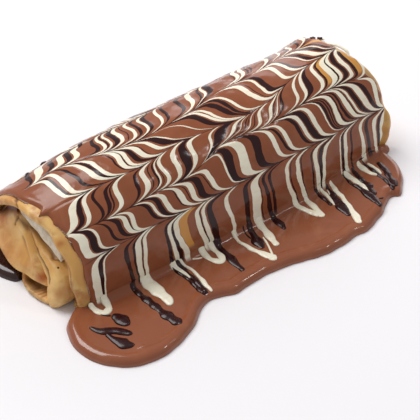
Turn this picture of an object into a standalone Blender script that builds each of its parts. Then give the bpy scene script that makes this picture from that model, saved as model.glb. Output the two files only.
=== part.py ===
"""Crepe roll cake: folded crepes and cream under a poured chocolate glaze.

The roll lies along X on its flat side, Z up, with the glaze pooled round its foot.
The origin is on the underside, below the middle of the roll.
Every length below is in millimetres. Points are scaled to metres as a mesh is made.

Run with: blender --background --python part.py
"""
import math

import bmesh
import bpy

MM = 0.001

# --- The glazed dome: x, centre y, half width, height ------------------------------------
DOME_STATIONS = (
    (-130.0, -1.0, 44.0, 49.0),
    (-106.0, -1.0, 44.0, 50.0),
    (-90.0, -1.8, 44.0, 55.0),
    (-70.0, -2.5, 44.0, 59.2),
    (-45.0, -3.2, 44.0, 61.8),
    (0.0, -4.0, 44.0, 62.0),
    (50.0, -4.1, 43.4, 61.5),
    (80.0, -2.0, 42.8, 58.8),
    (98.0, 0.6, 42.6, 59.6),
    (125.0, 5.0, 42.2, 56.0),
)
DOME_SQUARENESS = 2.15  # 2 is an ellipse, more is boxier

GAP = 0.3               # left between any two pieces
GLAZE_THICKNESS = 2.0
CREPE_THICKNESS = 4.8   # the outer wrap, several crepes thick
WRAP_FLOOR = 2.6        # the same wrap, pressed flat under the roll
INNER_GAP = 0.6         # between the wrap and what it holds
RIM_ROUNDING = 2.4      # how far the wrap's rim is rounded over

# --- Where the glaze and the wrap end: turn over the dome (0 near foot, 1 far foot), x ----
GLAZE_LEFT_EDGE = ((0.0, -103.5), (0.2, -103.0), (0.35, -105.0), (0.45, -107.5), (0.55, -110.0),
                   (0.7, -111.0), (1.0, -107.5))
WRAP_LEFT_RIM = ((0.0, -109.0), (0.1, -110.5), (0.2, -109.5), (0.35, -110.5), (0.45, -112.0),
                 (0.55, -114.0), (0.7, -115.0), (0.9, -112.0), (1.0, -109.0))
GLAZE_RIGHT_EDGE = ((0.0, 108.0), (0.1, 111.0), (0.18, 111.5), (0.24, 112.0), (0.3, 109.0),
                    (0.36, 105.0), (0.42, 102.0), (0.5, 99.5), (0.6, 97.5), (0.8, 96.0), (1.0, 96.0))
WRAP_RIGHT_RIM = ((0.0, 113.0), (0.05, 118.0), (0.1, 119.8), (0.16, 117.6), (0.24, 117.2),
                  (0.3, 114.2), (0.36, 110.2), (0.42, 107.0), (0.5, 104.4), (0.6, 102.2),
                  (0.8, 101.0), (1.0, 100.5))
WRAP_FLOOR_ENDS = (-102.5, 98.0)
SAG_START = -103.0      # past this x the folds sag down to the plate
SAG_LENGTH = 5.0
SPREAD_START = -108.0   # and past this x they spread by a share of the section
SPREAD_LENGTH = 8.0
SPREAD = 0.1
WRAP_PUFF = 2.8         # the wrap swells by this much past the glaze's right edge
PUFF_LENGTH = 4.0

# --- Glaze pooled round the foot: outlines at the plate, x and y --------------------------
NEAR_POOL = ((-100.0, -36.0), (-109.0, -40.0), (-118.0, -44.5), (-125.0, -55.0), (-125.8, -68.0),
             (-118.5, -84.0), (-103.0, -93.5), (-85.0, -93.5), (-69.0, -87.0), (-58.0, -79.5),
             (-50.0, -77.0), (-34.0, -81.0), (-8.0, -80.8), (12.0, -84.5), (32.0, -88.0),
             (55.0, -87.0), (72.0, -81.3), (84.0, -75.5), (96.0, -71.5), (104.5, -62.0),
             (108.5, -50.0), (106.0, -38.0), (96.0, -30.0), (60.0, -34.0), (0.0, -36.0),
             (-60.0, -34.0))
FAR_POOL = ((-96.0, 18.0), (-102.0, 6.0), (-111.0, 1.0), (-120.5, 2.5), (-127.0, 11.0),
            (-129.5, 28.0), (-124.0, 44.0), (-110.0, 53.0), (-88.0, 54.0), (-66.0, 51.5),
            (-42.0, 54.5), (-14.0, 52.5), (14.0, 54.5), (44.0, 51.5), (72.0, 54.0),
            (94.0, 54.5), (103.0, 45.0), (97.0, 34.0), (60.0, 30.0), (0.0, 28.0),
            (-60.0, 27.0))
POOL_TOP = 4.2
POOL_RIM = ((0.0, 0.9), (1.2, 3.1), (4.5, POOL_TOP))   # inward from the edge, height
SPLASH = (108.0, -40.5, 1.6)      # a thick bead of glaze at the right foot
SPLASH_RADII = (5.8, 4.2, 3.8)

# --- Thick drizzle on the near pool: x, y, width along each stroke ------------------------
WHITE_STROKES = (
    ((-104.5, -46, 3.5), (-103.5, -50, 4.5), (-100.5, -52.5, 4.5), (-97, -50.5, 4.5), (-96, -46, 3.5)),
    ((-70, -46, 7), (-69.5, -53, 8.5), (-69, -60, 7.5), (-69.2, -66, 5.5), (-69, -71, 3.5)),
    ((-46, -48, 2), (-45.2, -56, 2), (-45.6, -65, 3), (-47.2, -74, 2)),
    ((-32.5, -47, 4), (-32, -55, 4), (-28.8, -59.5, 4.5), (-25.8, -55, 4), (-26.3, -47, 3.5)),
    ((-10, -47, 2.5), (-10.4, -55, 2.6), (-8.2, -65, 3.4), (-5.5, -73, 5.5), (-4.6, -77.5, 3.5)),
    ((7.5, -46, 5), (6.5, -54, 5.2), (5, -62, 4.8), (4, -69, 4)),
    ((33.5, -46, 4), (34.6, -53, 4), (37, -60, 4.4), (39.2, -65, 4.4)),
    ((41.3, -46, 4), (41.5, -52, 4), (40.6, -59, 4.2), (39.8, -65, 4.4)),
    ((53.5, -46, 3), (53.3, -53, 2.8), (51.8, -62, 1)),
    ((60.5, -45, 3), (61.2, -52, 3.6), (58, -64, 3.2), (54.5, -76, 4.2), (50.6, -85, 4)),
    ((73.5, -46, 4.5), (75, -54, 4), (74.8, -62, 3), (74, -68, 1.4)),
    ((86, -45, 4.5), (86.5, -52, 4), (88.5, -58.5, 1.4)),
)
DARK_STROKES = (
    ((-98, -56.5, 6), (-97.6, -62, 7.6), (-95.8, -68, 5)),
    ((-113, -57.5, 2), (-110.5, -62.5, 4), (-105.5, -66.5, 5), (-101, -71, 5.5), (-99, -74, 3)),
    ((-109, -66, 3), (-108.4, -72, 4.5), (-106.5, -77.5, 7.5), (-103, -81, 4)),
    ((-78.5, -47, 3), (-78, -56, 4.6), (-77.4, -66, 5), (-76.6, -76, 6), (-75.2, -84, 5.5)),
    ((-50.2, -47.5, 5), (-50, -57, 4.2), (-49.9, -67, 4.8), (-51, -77, 4)),
    ((-22.5, -46, 4), (-22.8, -56, 5.2), (-23.4, -65, 4.8), (-24, -73, 3.4)),
    ((1.2, -46, 3.4), (-0.8, -54, 5), (-3, -61, 6), (-4, -66, 4)),
    ((18, -45, 3), (16.8, -52, 5), (16, -61.5, 2.6)),
    ((58.5, -46, 3), (56, -58, 4), (53.5, -67, 7.5), (51.6, -74.5, 4)),
    ((71.4, -46, 1.8), (72, -57, 2.6), (73, -69, 6), (70.8, -79, 4.4), (68.6, -84, 2)),
    ((80.2, -46, 3), (78.8, -56, 4.2), (76.2, -65, 5.6), (74.8, -71, 4)),
    ((89.6, -45, 2), (89.4, -56, 2.8), (88.6, -68, 2.6), (85, -78.5, 4.5)),
    ((97.2, -50.5, 4), (95, -59, 4), (91, -69.5, 4), (86, -78, 5.5)),
)
STROKE_RISE = 1.0        # how far a stroke stands out of the pool
STROKE_SINK = 1.2
STROKE_TIP_LENGTH = 0.35  # of its width, how far a stroke's rounded tip reaches
STROKE_TIP_WIDTH = 0.45
STROKE_SECTION = ((-1.0, -0.5), (-0.72, 0.6), (0.0, 1.0), (0.72, 0.6), (1.0, -0.5))

# --- What the wrap holds, drawn on the section at the left end ------------------------------
# Along each fold: outer y and z, inner y and z, and where it ends in x
CREAM_SIDES = ((12.3, 37.2, 11.7, 34.8, -108.5), (4.7, 41.0, 4.3, 35.0, -109.5),
               (-5.0, 41.3, -3.0, 33.1, -109.5), (-15.2, 38.1, -10.8, 29.1, -109.0),
               (-23.4, 32.0, -18.6, 25.6, -108.5), (-26.3, 25.4, -24.7, 23.6, -108.0))
BAND_SIDES = ((10.1, 31.1, 10.9, 28.9, -109.0), (3.8, 30.5, 6.2, 25.5, -110.5),
              (-3.5, 28.1, 0.5, 20.7, -111.5), (-11.3, 25.5, -6.7, 15.3, -112.5),
              (-21.0, 23.5, -14.0, 11.0, -114.0), (-30.5, 18.5, -18.4, 8.2, -116.0),
              (-36.0, 10.0, -20.0, 4.8, -118.0), (-36.0, 0.4, -20.0, 0.6, -118.5))
POCKET_SIDES = ((-4.0, 8.5, -2.0, 7.9, -117.5), (-5.3, 5.2, -3.1, 3.6, -119.5),
                (-8.0, 3.4, -7.2, 0.6, -121.0), (-14.0, 3.1, -14.0, 0.1, -121.5),
                (-21.0, 3.1, -21.0, 0.1, -120.5), (-27.0, 3.0, -27.0, 0.2, -118.5))
# Name, finish, sides, columns along the section and rows across it
LAYERS = (("cream_filling", "cream", CREAM_SIDES, 9, 2),
          ("crepe_band", "crepe_pale", BAND_SIDES, 12, 4),
          ("crepe_pocket", "crepe_pale", POCKET_SIDES, 9, 2))
FOLD_END_SHARE = 0.35             # a fold narrows to this share of its width at its ends
FOLD_END_LENGTH = 0.125           # over this share of its own length
FILLING_NEAR_Y = -36.0            # the filling's near side, and how wide it is
FILLING_SPAN = 70.0
FILL_RIGHT_SHORTFALL = 3.0        # the inner pieces end this far inside the wrap's right rim
CAP_ROUNDNESS = 0.6               # of its half width, how far a fold's end is rounded over
CUTTER_GROWTH = 0.6               # how much a cutter is larger than the piece all round
CUTTER_REACH = 25.0               # a cutter runs this far past the piece that it makes room for
CUTTER_SPARE = 0.15               # and, as a share of the section, this far through the wall

# The flap is the innermost crepe, folded down over the end like an envelope
FLAP_TURNS = (0.1, 0.9)
FLAP_LEVELS = (0.3, 5.5, 7.6, 8.8, 10.2, 14.0)   # heights of its rows below the lip and above
FLAP_ROWS_ABOVE = 3
FLAP_LIP_X = -120.5
FLAP_LIP_Z = 8.8
FLAP_LIP_LIFT = 5.0               # the lip's far corner is this much higher than its middle
FLAP_CREASE_X = -110.5
FLAP_CREASE_Z = 34.0
FLAP_UNDERCUT_X = -103.0
FLAP_HALF_WIDTH = 26.0
FLAP_CORNER_SETBACK = 4.5
FLAP_MIDDLE_Y = 3.0               # the lip curves back to both sides of here
FLAP_SETBACK_LIMIT = 1.4          # in half widths
FLAP_BULGE = 1.3                  # above 1 the face bulges lower down
FLAP_LIP_DEPTH = 1.0              # the lip's underside starts this far back
FLAP_LIP_FALL = 3.0               # and is undercut over this height
FLAP_SIDE_FALL = 3.0
FLAP_TOP_ROOM = 1.0               # kept between the lip's rows and the top
FLAP_SIDE = ((12.0, 34.0), (-22.0, 8.0))   # the flap's face stops along this line, y and z
FLAP_SIDE_X = -103.0              # and beyond the line it is set back to here

# --- Mesh densities -----------------------------------------------------------------------
WALL_STATIONS = (0.0, 0.02, 0.07, 0.15, 0.27, 0.42, 0.6, 0.78, 0.9, 0.955, 0.98, 1.0)
ARCH_STEPS = 26
FLOOR_STEPS = 3
OUTLINE_STEPS = 3        # between two outline points
STROKE_STEPS = 2         # between two stroke points
SHARP_ANGLE = math.radians(35)

# --- Finishes: base colour, roughness ------------------------------------------------------
FINISHES = {
    "glaze": ((0.26, 0.085, 0.038), 0.22),
    "crepe": ((0.66, 0.40, 0.15), 0.55),
    "crepe_pale": ((0.74, 0.52, 0.24), 0.55),
    "cream": ((0.72, 0.66, 0.54), 0.45),
}
TANGENT_STEP = 0.01      # a share of a table's length


# ---------------------------------------------------------------------------------- numbers
def blend(low, high, amount):
    return low + (high - low) * amount


def ease(amount):
    amount = min(max(amount, 0.0), 1.0)
    return amount * amount * (3 - 2 * amount)


def slope(table, index, column):
    before, after = table[max(index - 1, 0)], table[min(index + 1, len(table) - 1)]
    return (after[column] - before[column]) / (after[0] - before[0])


def smooth_lookup(table, x):
    """Read every column of a table at x, on a smooth curve through its rows."""
    x = min(max(x, table[0][0]), table[-1][0])
    index = 0
    while index < len(table) - 2 and table[index + 1][0] < x:
        index += 1
    low, high = table[index], table[index + 1]
    step = high[0] - low[0]
    u = (x - low[0]) / step
    values = []
    for column in range(1, len(low)):
        tangent_low = slope(table, index, column) * step
        tangent_high = slope(table, index + 1, column) * step
        values.append((2 * u**3 - 3 * u**2 + 1) * low[column] + (u**3 - 2 * u**2 + u) * tangent_low
                      + (3 * u**2 - 2 * u**3) * high[column] + (u**3 - u**2) * tangent_high)
    return values


def smooth_path(points, steps, closed):
    """Points on a Catmull-Rom curve through the given ones, with any number of coordinates."""
    count = len(points)
    path = []
    for index in range(count if closed else count - 1):
        if closed:
            corners = [points[(index + shift) % count] for shift in (-1, 0, 1, 2)]
        else:
            corners = [points[min(max(index + shift, 0), count - 1)] for shift in (-1, 0, 1, 2)]
        for step in range(steps):
            u = step / steps
            path.append(tuple(
                0.5 * (2 * p1 + (p2 - p0) * u + (2 * p0 - 5 * p1 + 4 * p2 - p3) * u**2
                       + (3 * p1 - p0 - 3 * p2 + p3) * u**3)
                for p0, p1, p2, p3 in zip(*corners)))
    if not closed:
        path.append(tuple(points[-1]))
    return path


# ---------------------------------------------------------------------------- roll sections
def arch_point(x, turn, inset, base=0.0):
    """The y and z of the dome's section at x, a turn of 0 to 1 from the near to the far foot."""
    centre, half_width, height = smooth_lookup(DOME_STATIONS, x)
    cosine, sine = math.cos(math.pi * turn), abs(math.sin(math.pi * turn))
    power = 2 / DOME_SQUARENESS
    y = centre - (half_width - inset) * math.copysign(abs(cosine) ** power, cosine)
    return y, base + (height - inset - base) * sine ** power


def wrap_inset(x, turn):
    """How far the wrap's outside lies below the glazed dome."""
    glaze_edge = smooth_lookup(GLAZE_RIGHT_EDGE, turn)[0]
    return GLAZE_THICKNESS + GAP - WRAP_PUFF * ease((x - glaze_edge - 2 * GAP) / PUFF_LENGTH)


def inner_section(x):
    """Centre, half width, height and floor of the space inside the wrap at x."""
    centre, half_width, height = smooth_lookup(DOME_STATIONS, x)
    inset = GLAZE_THICKNESS + GAP + CREPE_THICKNESS + INNER_GAP
    sag = ease((SAG_START - x) / SAG_LENGTH)
    floor = blend(WRAP_FLOOR + INNER_GAP, GAP, sag)
    return centre, half_width - inset, height - inset, floor


def settle(x, y, z, spare=0.0):
    """Fit a point of the left end's section to the space inside the wrap at x.

    A point outside that space is drawn in to its wall, or to a spare share of its size past it.
    With a share to spare it may lie below the floor too.
    """
    reference_centre, reference_half, reference_height, _ = inner_section(DOME_STATIONS[1][0])
    centre, half_width, height, floor = inner_section(x)
    across = (y - reference_centre) / reference_half
    up = z / reference_height if spare else max(z / reference_height, 0.0)
    reach = (abs(across) ** DOME_SQUARENESS + abs(up) ** DOME_SQUARENESS) ** (1 / DOME_SQUARENESS)
    limit = 1.0 + spare + SPREAD * ease((SPREAD_START - x) / SPREAD_LENGTH)
    if reach > limit:
        across, up = across * limit / reach, up * limit / reach
    return centre + across * half_width, floor + up * (height - floor)


# -------------------------------------------------------------------------------- materials
def make_material(name):
    colour, roughness = FINISHES[name]
    material = bpy.data.materials.get(name)
    if material is None:
        material = bpy.data.materials.new(name)
        material.use_nodes = True
        shader = material.node_tree.nodes["Principled BSDF"]
        shader.inputs["Base Color"].default_value = (*colour, 1.0)
        shader.inputs["Roughness"].default_value = roughness
        shader.inputs["Metallic"].default_value = 0.0
    return material


# ----------------------------------------------------------------------------------- meshes
def add_object(name, bm, finish):
    bmesh.ops.recalc_face_normals(bm, faces=bm.faces)
    mesh = bpy.data.meshes.new(name)
    bm.to_mesh(mesh)
    bm.free()
    mesh.shade_smooth()
    mesh.set_sharp_from_angle(angle=SHARP_ANGLE)
    piece = bpy.data.objects.new(name, mesh)
    mesh.materials.append(make_material(finish))
    bpy.context.collection.objects.link(piece)
    return piece


def scaled(point):
    return tuple(value * MM for value in point)


def join_rings(bm, first, second):
    """Triangles between two closed rings of vertices, always split along the same diagonal."""
    count = len(first)
    for index in range(count):
        following = (index + 1) % count
        bm.faces.new((first[index], first[following], second[following]))
        bm.faces.new((first[index], second[following], second[index]))


def rim_indices(columns, rows, closed):
    """The closed loops of grid places round a strip's section."""
    if closed:
        return [[(i, 0) for i in range(columns)], [(i, rows) for i in range(columns)]]
    loop = [(i, 0) for i in range(columns + 1)]
    loop += [(columns, j) for j in range(1, rows + 1)]
    loop += [(i, rows) for i in range(columns - 1, -1, -1)]
    loop += [(0, j) for j in range(rows - 1, 0, -1)]
    return [loop]


def make_fold(name, finish, section, end_x, columns, rows, closed=False, reach=0.0):
    """A solid along X with a strip-shaped section and a modelled cap at each end.

    section(x, i, j) gives y and z; end_x(side, i, j) gives a cap's x, with side 0 or 1.
    A closed strip joins its last column to its first, and makes a tube.
    A cutter's caps are pushed out by its reach, straight along X.
    """
    bm = bmesh.new()
    width = columns if closed else columns + 1
    caps = []
    for side in (0, 1):
        grid = {}
        for i in range(width):
            for j in range(rows + 1):
                x = end_x(side, i, j)
                pushed = x + (reach if side else -reach)
                grid[i, j] = bm.verts.new(scaled((pushed, *section(x, i, j))))
        for i in range(columns):
            following = (i + 1) % width
            for j in range(rows):
                bm.faces.new((grid[i, j], grid[following, j], grid[following, j + 1], grid[i, j + 1]))
        caps.append(grid)
    fractions = WALL_STATIONS if reach else WALL_STATIONS[1:-1]
    for loop in rim_indices(columns, rows, closed):
        rings = [[caps[0][place] for place in loop]]
        for fraction in fractions:
            ring = []
            for place in loop:
                x = blend(end_x(0, *place), end_x(1, *place), fraction)
                ring.append(bm.verts.new(scaled((x, *section(x, *place)))))
            rings.append(ring)
        rings.append([caps[1][place] for place in loop])
        for first, second in zip(rings, rings[1:]):
            join_rings(bm, first, second)
    return add_object(name, bm, finish)


def make_dome(name, finish, inset, edges, bottom, shortened=0.0, overrun=0.0):
    """The dome as one full solid, between two edge tables, down to the given bottom.

    It may be shortened at both ends, and then run on straight past them by the overrun.
    """
    bm = bmesh.new()
    rings = []
    turns = [step / ARCH_STEPS for step in range(ARCH_STEPS + 1)]
    stations = [(fraction, 0.0) for fraction in WALL_STATIONS]
    if overrun:
        stations = [(0.0, -overrun), *stations, (1.0, overrun)]
    for fraction, push in stations:
        ring = []
        for turn in turns:
            left = smooth_lookup(edges[0], turn)[0] + shortened
            right = smooth_lookup(edges[1], turn)[0] - shortened
            x = blend(left, right, fraction)
            ring.append((x + push, *arch_point(x, turn, inset(x, turn))))
        feet = [(ring[-1][0], ring[-1][1], bottom), (ring[0][0], ring[0][1], bottom)]
        rings.append([bm.verts.new(scaled(point)) for point in ring + feet])
    for first, second in zip(rings, rings[1:]):
        join_rings(bm, first, second)
    for ring in (rings[0], rings[-1]):
        centre = [sum(vert.co[axis] for vert in ring) / len(ring) for axis in range(3)]
        middle = bm.verts.new(centre)
        for index, vert in enumerate(ring):
            bm.faces.new((vert, ring[(index + 1) % len(ring)], middle))
    return add_object(name, bm, finish)


def inward_normals(path):
    """Unit normals that point into a closed path, whichever way it runs."""
    count = len(path)
    area = sum(path[i - 1][0] * path[i][1] - path[i][0] * path[i - 1][1] for i in range(count))
    turn = 1 if area > 0 else -1
    normals = []
    for index in range(count):
        before, after = path[index - 1], path[(index + 1) % count]
        along = (after[0] - before[0], after[1] - before[1])
        length = math.hypot(*along)
        normals.append((-turn * along[1] / length, turn * along[0] / length))
    return normals


def make_pool(name, outline, bottom):
    """A puddle with a rounded rim, over a smooth closed outline."""
    bm = bmesh.new()
    path = smooth_path(outline, OUTLINE_STEPS, closed=True)
    normals = inward_normals(path)
    rings = [[bm.verts.new(scaled((x, y, bottom))) for x, y in path]]
    for inset, height in POOL_RIM:
        rings.append([bm.verts.new(scaled((x + nx * inset, y + ny * inset, height)))
                      for (x, y), (nx, ny) in zip(path, normals)])
    for first, second in zip(rings, rings[1:]):
        join_rings(bm, first, second)
    bm.faces.new(rings[0])
    bm.faces.new(rings[-1])
    return add_object(name, bm, "glaze")


def stroke_tip(end, inner):
    """A narrower point just past a stroke's end, which rounds it off."""
    away = (end[0] - inner[0], end[1] - inner[1])
    length = math.hypot(*away)
    reach = end[2] * STROKE_TIP_LENGTH / length
    return end[0] + away[0] * reach, end[1] + away[1] * reach, end[2] * STROKE_TIP_WIDTH


def make_stroke(name, points):
    """One thick line of drizzle: a low rounded bar that follows its points."""
    bm = bmesh.new()
    path = smooth_path(points, STROKE_STEPS, closed=False)
    path = [stroke_tip(path[0], path[1])] + path + [stroke_tip(path[-1], path[-2])]
    rings = []
    for index, (x, y, width) in enumerate(path):
        before, after = path[max(index - 1, 0)], path[min(index + 1, len(path) - 1)]
        along = (after[0] - before[0], after[1] - before[1])
        length = math.hypot(*along)
        side = (along[1] / length * width / 2, -along[0] / length * width / 2)
        rings.append([bm.verts.new(scaled((x + side[0] * across, y + side[1] * across,
                                           POOL_TOP + (STROKE_RISE if up > 0 else STROKE_SINK) * up)))
                      for across, up in STROKE_SECTION])
    for first, second in zip(rings, rings[1:]):
        join_rings(bm, first, second)
    bm.faces.new(rings[0])
    bm.faces.new(rings[-1])
    return add_object(name, bm, "glaze")


def make_splash(name):
    """The bead of glaze beside the right foot."""
    bm = bmesh.new()
    bmesh.ops.create_uvsphere(bm, u_segments=16, v_segments=8, radius=1.0)
    for vert in bm.verts:
        vert.co = scaled(centre + radius * value
                         for centre, radius, value in zip(SPLASH, SPLASH_RADII, vert.co))
    return add_object(name, bm, "glaze")


# --------------------------------------------------------------------------------- booleans
def boolean_with(piece, others, operation, solver="EXACT"):
    """Apply one Boolean between a piece and a list of others, and remove the others."""
    group = bpy.data.collections.new(f"{piece.name}_{operation.lower()}")
    bpy.context.scene.collection.children.link(group)
    for other in others:
        bpy.context.collection.objects.unlink(other)
        group.objects.link(other)
    modifier = piece.modifiers.new(operation.title(), "BOOLEAN")
    modifier.operation = operation
    modifier.operand_type = "COLLECTION"
    modifier.collection = group
    modifier.solver = solver
    bpy.context.view_layer.update()
    evaluated = piece.evaluated_get(bpy.context.evaluated_depsgraph_get())
    mesh = bpy.data.meshes.new_from_object(evaluated)
    piece.modifiers.clear()
    piece.data = mesh
    mesh.set_sharp_from_angle(angle=SHARP_ANGLE)
    for other in others:
        bpy.data.objects.remove(other)
    bpy.data.collections.remove(group)
    return piece


def keep_largest(piece):
    """Drop the loose scraps that a cut leaves, and keep the body with the most faces."""
    bm = bmesh.new()
    bm.from_mesh(piece.data)
    unseen = set(bm.faces)
    bodies = []
    while unseen:
        front = [unseen.pop()]
        body = list(front)
        while front:
            for edge in front.pop().edges:
                for face in edge.link_faces:
                    if face in unseen:
                        unseen.remove(face)
                        front.append(face)
                        body.append(face)
        bodies.append(body)
    bodies.sort(key=len)
    for body in bodies[:-1]:
        bmesh.ops.delete(bm, geom=body, context="FACES")
    bm.to_mesh(piece.data)
    bm.free()


def make_slab(name, bottom, top, reach):
    """A plain block for cutting, centred on the origin."""
    bm = bmesh.new()
    bmesh.ops.create_cube(bm, size=1.0)
    for vert in bm.verts:
        x, y, z = vert.co
        vert.co = scaled((x * reach, y * reach, blend(bottom, top, z + 0.5)))
    return add_object(name, bm, "glaze")


# ----------------------------------------------------------------------------------- pieces
def build_glaze():
    """The poured coat, its pools and the thick drizzle on them, in one piece."""
    # The parts reach below the plate to different depths, so that no two faces coincide
    glaze = make_dome("glaze", "glaze", lambda x, turn: 0.0,
                      (GLAZE_LEFT_EDGE, GLAZE_RIGHT_EDGE), bottom=-3.0)
    additions = [make_pool("near_pool", NEAR_POOL, bottom=-4.0),
                 make_pool("far_pool", FAR_POOL, bottom=-5.0), make_splash("splash")]
    for index, points in enumerate(WHITE_STROKES + DARK_STROKES):
        additions.append(make_stroke(f"stroke_{index}", points))
    boolean_with(glaze, additions, "UNION")
    room = make_dome("room", "glaze", lambda x, turn: wrap_inset(x, turn) - GAP,
                     (WRAP_LEFT_RIM, WRAP_RIGHT_RIM), bottom=-8.0,
                     shortened=RIM_ROUNDING, overrun=RIM_ROUNDING + GAP)
    boolean_with(glaze, [room], "DIFFERENCE")
    boolean_with(glaze, [make_slab("ground", -12.0, 0.0, 400.0)], "DIFFERENCE")
    keep_largest(glaze)
    return glaze


def build_wrap():
    """The outer crepe: a flattened tube, open at both ends, with rounded rims."""
    columns = ARCH_STEPS + 1 + FLOOR_STEPS
    rows = 4

    def wall_point(x, turn, layer):
        wall_end = smooth_lookup(WRAP_RIGHT_RIM, turn)[0] - RIM_ROUNDING
        inset = wrap_inset(min(x, wall_end), turn) + CREPE_THICKNESS * layer
        return arch_point(x, turn, inset, WRAP_FLOOR * layer)

    def section(x, i, j):
        layer = j / rows                     # 0 outside, 1 inside
        if i <= ARCH_STEPS:
            return wall_point(x, i / ARCH_STEPS, layer)
        near, far = (wall_point(x, turn, layer)[0] for turn in (0.0, 1.0))
        return blend(far, near, (i - ARCH_STEPS) / (FLOOR_STEPS + 1)), WRAP_FLOOR * layer

    def end_x(side, i, j):
        rim = (WRAP_LEFT_RIM, WRAP_RIGHT_RIM)[side]
        crest = smooth_lookup(rim, i / ARCH_STEPS)[0] if i <= ARCH_STEPS else WRAP_FLOOR_ENDS[side]
        layer = 2 * j / rows - 1
        inward = RIM_ROUNDING * (1 - math.sqrt(1 - layer * layer))
        return crest + (inward if side == 0 else -inward)

    return make_fold("crepe_wrap", "crepe", section, end_x, columns, rows, closed=True)


def rim_turn(y):
    """The turn over the dome at which the wrap's right rim lies beside a y of the filling."""
    return min(max((y - FILLING_NEAR_Y) / FILLING_SPAN, 0.05), 0.95)


def make_layer(name, finish, sides, columns, rows, grow=0.0, reach=0.0):
    """A fold of the filling between its two sides; grow and reach make it into a cutter's shape."""
    table = [(index / (len(sides) - 1), *row) for index, row in enumerate(sides)]

    def edge_points(i):
        """The two edge points of a column in the section, half the way between them, and x."""
        place = i / columns
        *values, crest = smooth_lookup(table, place)
        ahead = smooth_lookup(table, min(place + TANGENT_STEP, 1.0))
        behind = smooth_lookup(table, max(place - TANGENT_STEP, 0.0))
        share = min(min(place, 1 - place) / FOLD_END_LENGTH, 1.0) ** 0.5
        share = blend(FOLD_END_SHARE, 1.0, share) / 2
        over = grow if i == columns else -grow if i == 0 else 0.0
        middle = [(values[0] + values[2]) / 2, (values[1] + values[3]) / 2]
        points = []
        for first, outward in ((0, -1), (2, 1)):
            dy, dz = ahead[first] - behind[first], ahead[first + 1] - behind[first + 1]
            length = math.hypot(dy, dz)
            spread = [(value - centre) * 2 * share
                      for value, centre in zip(values[first:first + 2], middle)]
            points.append((middle[0] + spread[0] + (dy * over - dz * outward * grow) / length,
                           middle[1] + spread[1] + (dz * over + dy * outward * grow) / length))
        return points, math.dist(*points) / 2, crest

    def section(x, i, j):
        (near, far), _, _ = edge_points(i)
        return settle(x, blend(near[0], far[0], j / rows), blend(near[1], far[1], j / rows),
                      CUTTER_SPARE if grow else 0.0)

    def end_x(side, i, j):
        (near, far), half_width, crest = edge_points(i)
        across = 2 * j / rows - 1
        inward = CAP_ROUNDNESS * half_width * (1 - math.sqrt(1 - across * across))
        if side == 0:
            return crest + inward
        rim = smooth_lookup(WRAP_RIGHT_RIM, rim_turn((near[0] + far[0]) / 2))[0]
        return rim - FILL_RIGHT_SHORTFALL - inward

    return make_fold(name, finish, section, end_x, columns, rows, reach=reach)


def build_flap():
    """The innermost crepe: it fills the roll, and folds down over the left end to a free lip."""
    columns = 16
    rows = len(FLAP_LEVELS) - 1 + FLAP_ROWS_ABOVE
    centre, half_width, reference_height, _ = inner_section(DOME_STATIONS[1][0])

    def lip_lift(y):
        return FLAP_LIP_LIFT * min(max(y, 0.0) / FLAP_HALF_WIDTH, 1.0) ** 2

    def past_side(y, z):
        """How far a point of the section lies beyond the line where the flap's face stops."""
        (y0, z0), (y1, z1) = FLAP_SIDE
        return ((y - y0) * (z1 - z0) - (z - z0) * (y1 - y0)) / math.hypot(y1 - y0, z1 - z0)

    def drawn(i, j):
        """A point of the flap on the left end's section."""
        turn = blend(*FLAP_TURNS, i / columns)
        cosine, sine = math.cos(math.pi * turn), math.sin(math.pi * turn)
        power = 2 / DOME_SQUARENESS
        y = centre - half_width * math.copysign(abs(cosine) ** power, cosine)
        top = reference_height * sine ** power
        lift = lip_lift(y)
        last = len(FLAP_LEVELS) - 1
        if j <= last:
            return y, FLAP_LEVELS[j] + lift * ease(j / 2)
        start = FLAP_LEVELS[last] + lift
        return y, blend(min(start, top - FLAP_TOP_ROOM), top, (j - last) / FLAP_ROWS_ABOVE)

    def section(x, i, j):
        return settle(x, *drawn(i, j))

    def end_x(side, i, j):
        y, z = drawn(i, j)
        if side == 1:
            return smooth_lookup(WRAP_RIGHT_RIM, rim_turn(y))[0] - FILL_RIGHT_SHORTFALL
        lift = lip_lift(y)
        aside = min(abs(y - FLAP_MIDDLE_Y) / FLAP_HALF_WIDTH, FLAP_SETBACK_LIMIT)
        lip = FLAP_LIP_X + FLAP_CORNER_SETBACK * aside ** 2
        above = (z - FLAP_LIP_Z - lift) / (FLAP_CREASE_Z - FLAP_LIP_Z - lift)
        if above >= 0:
            bulge = math.sin(math.pi / 2 * min(above, 1.0) ** FLAP_BULGE)
            face = blend(lip, FLAP_CREASE_X, bulge)
        else:
            below = ease((FLAP_LIP_Z + lift - z) / FLAP_LIP_FALL)
            face = blend(lip + FLAP_LIP_DEPTH, FLAP_UNDERCUT_X, below)
        return blend(face, FLAP_SIDE_X, ease(past_side(y, z) / FLAP_SIDE_FALL))

    return make_fold("crepe_flap", "crepe", section, end_x, columns, rows)


def build_filling():
    """Cream, band, pocket and flap: each later one is cut to leave room for those before it."""
    made = []
    for index, layer in enumerate(LAYERS):
        piece = make_layer(*layer)
        for other in LAYERS[:index]:
            cutter = make_layer("cutter", *other[1:], grow=CUTTER_GROWTH, reach=CUTTER_GROWTH)
            boolean_with(piece, [cutter], "DIFFERENCE")
        made.append(piece)
    flap = build_flap()
    for name, *shape in LAYERS:
        cutter = make_layer("cutter", *shape, grow=CUTTER_GROWTH, reach=CUTTER_REACH)
        # The exact solver loses the whole flap against the band
        boolean_with(flap, [cutter], "DIFFERENCE", "MANIFOLD" if name == "crepe_band" else "EXACT")
    keep_largest(flap)
    return made + [flap]


def main():
    for thing in list(bpy.data.objects):
        bpy.data.objects.remove(thing)
    build_glaze()
    build_wrap()
    build_filling()


main()
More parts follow.
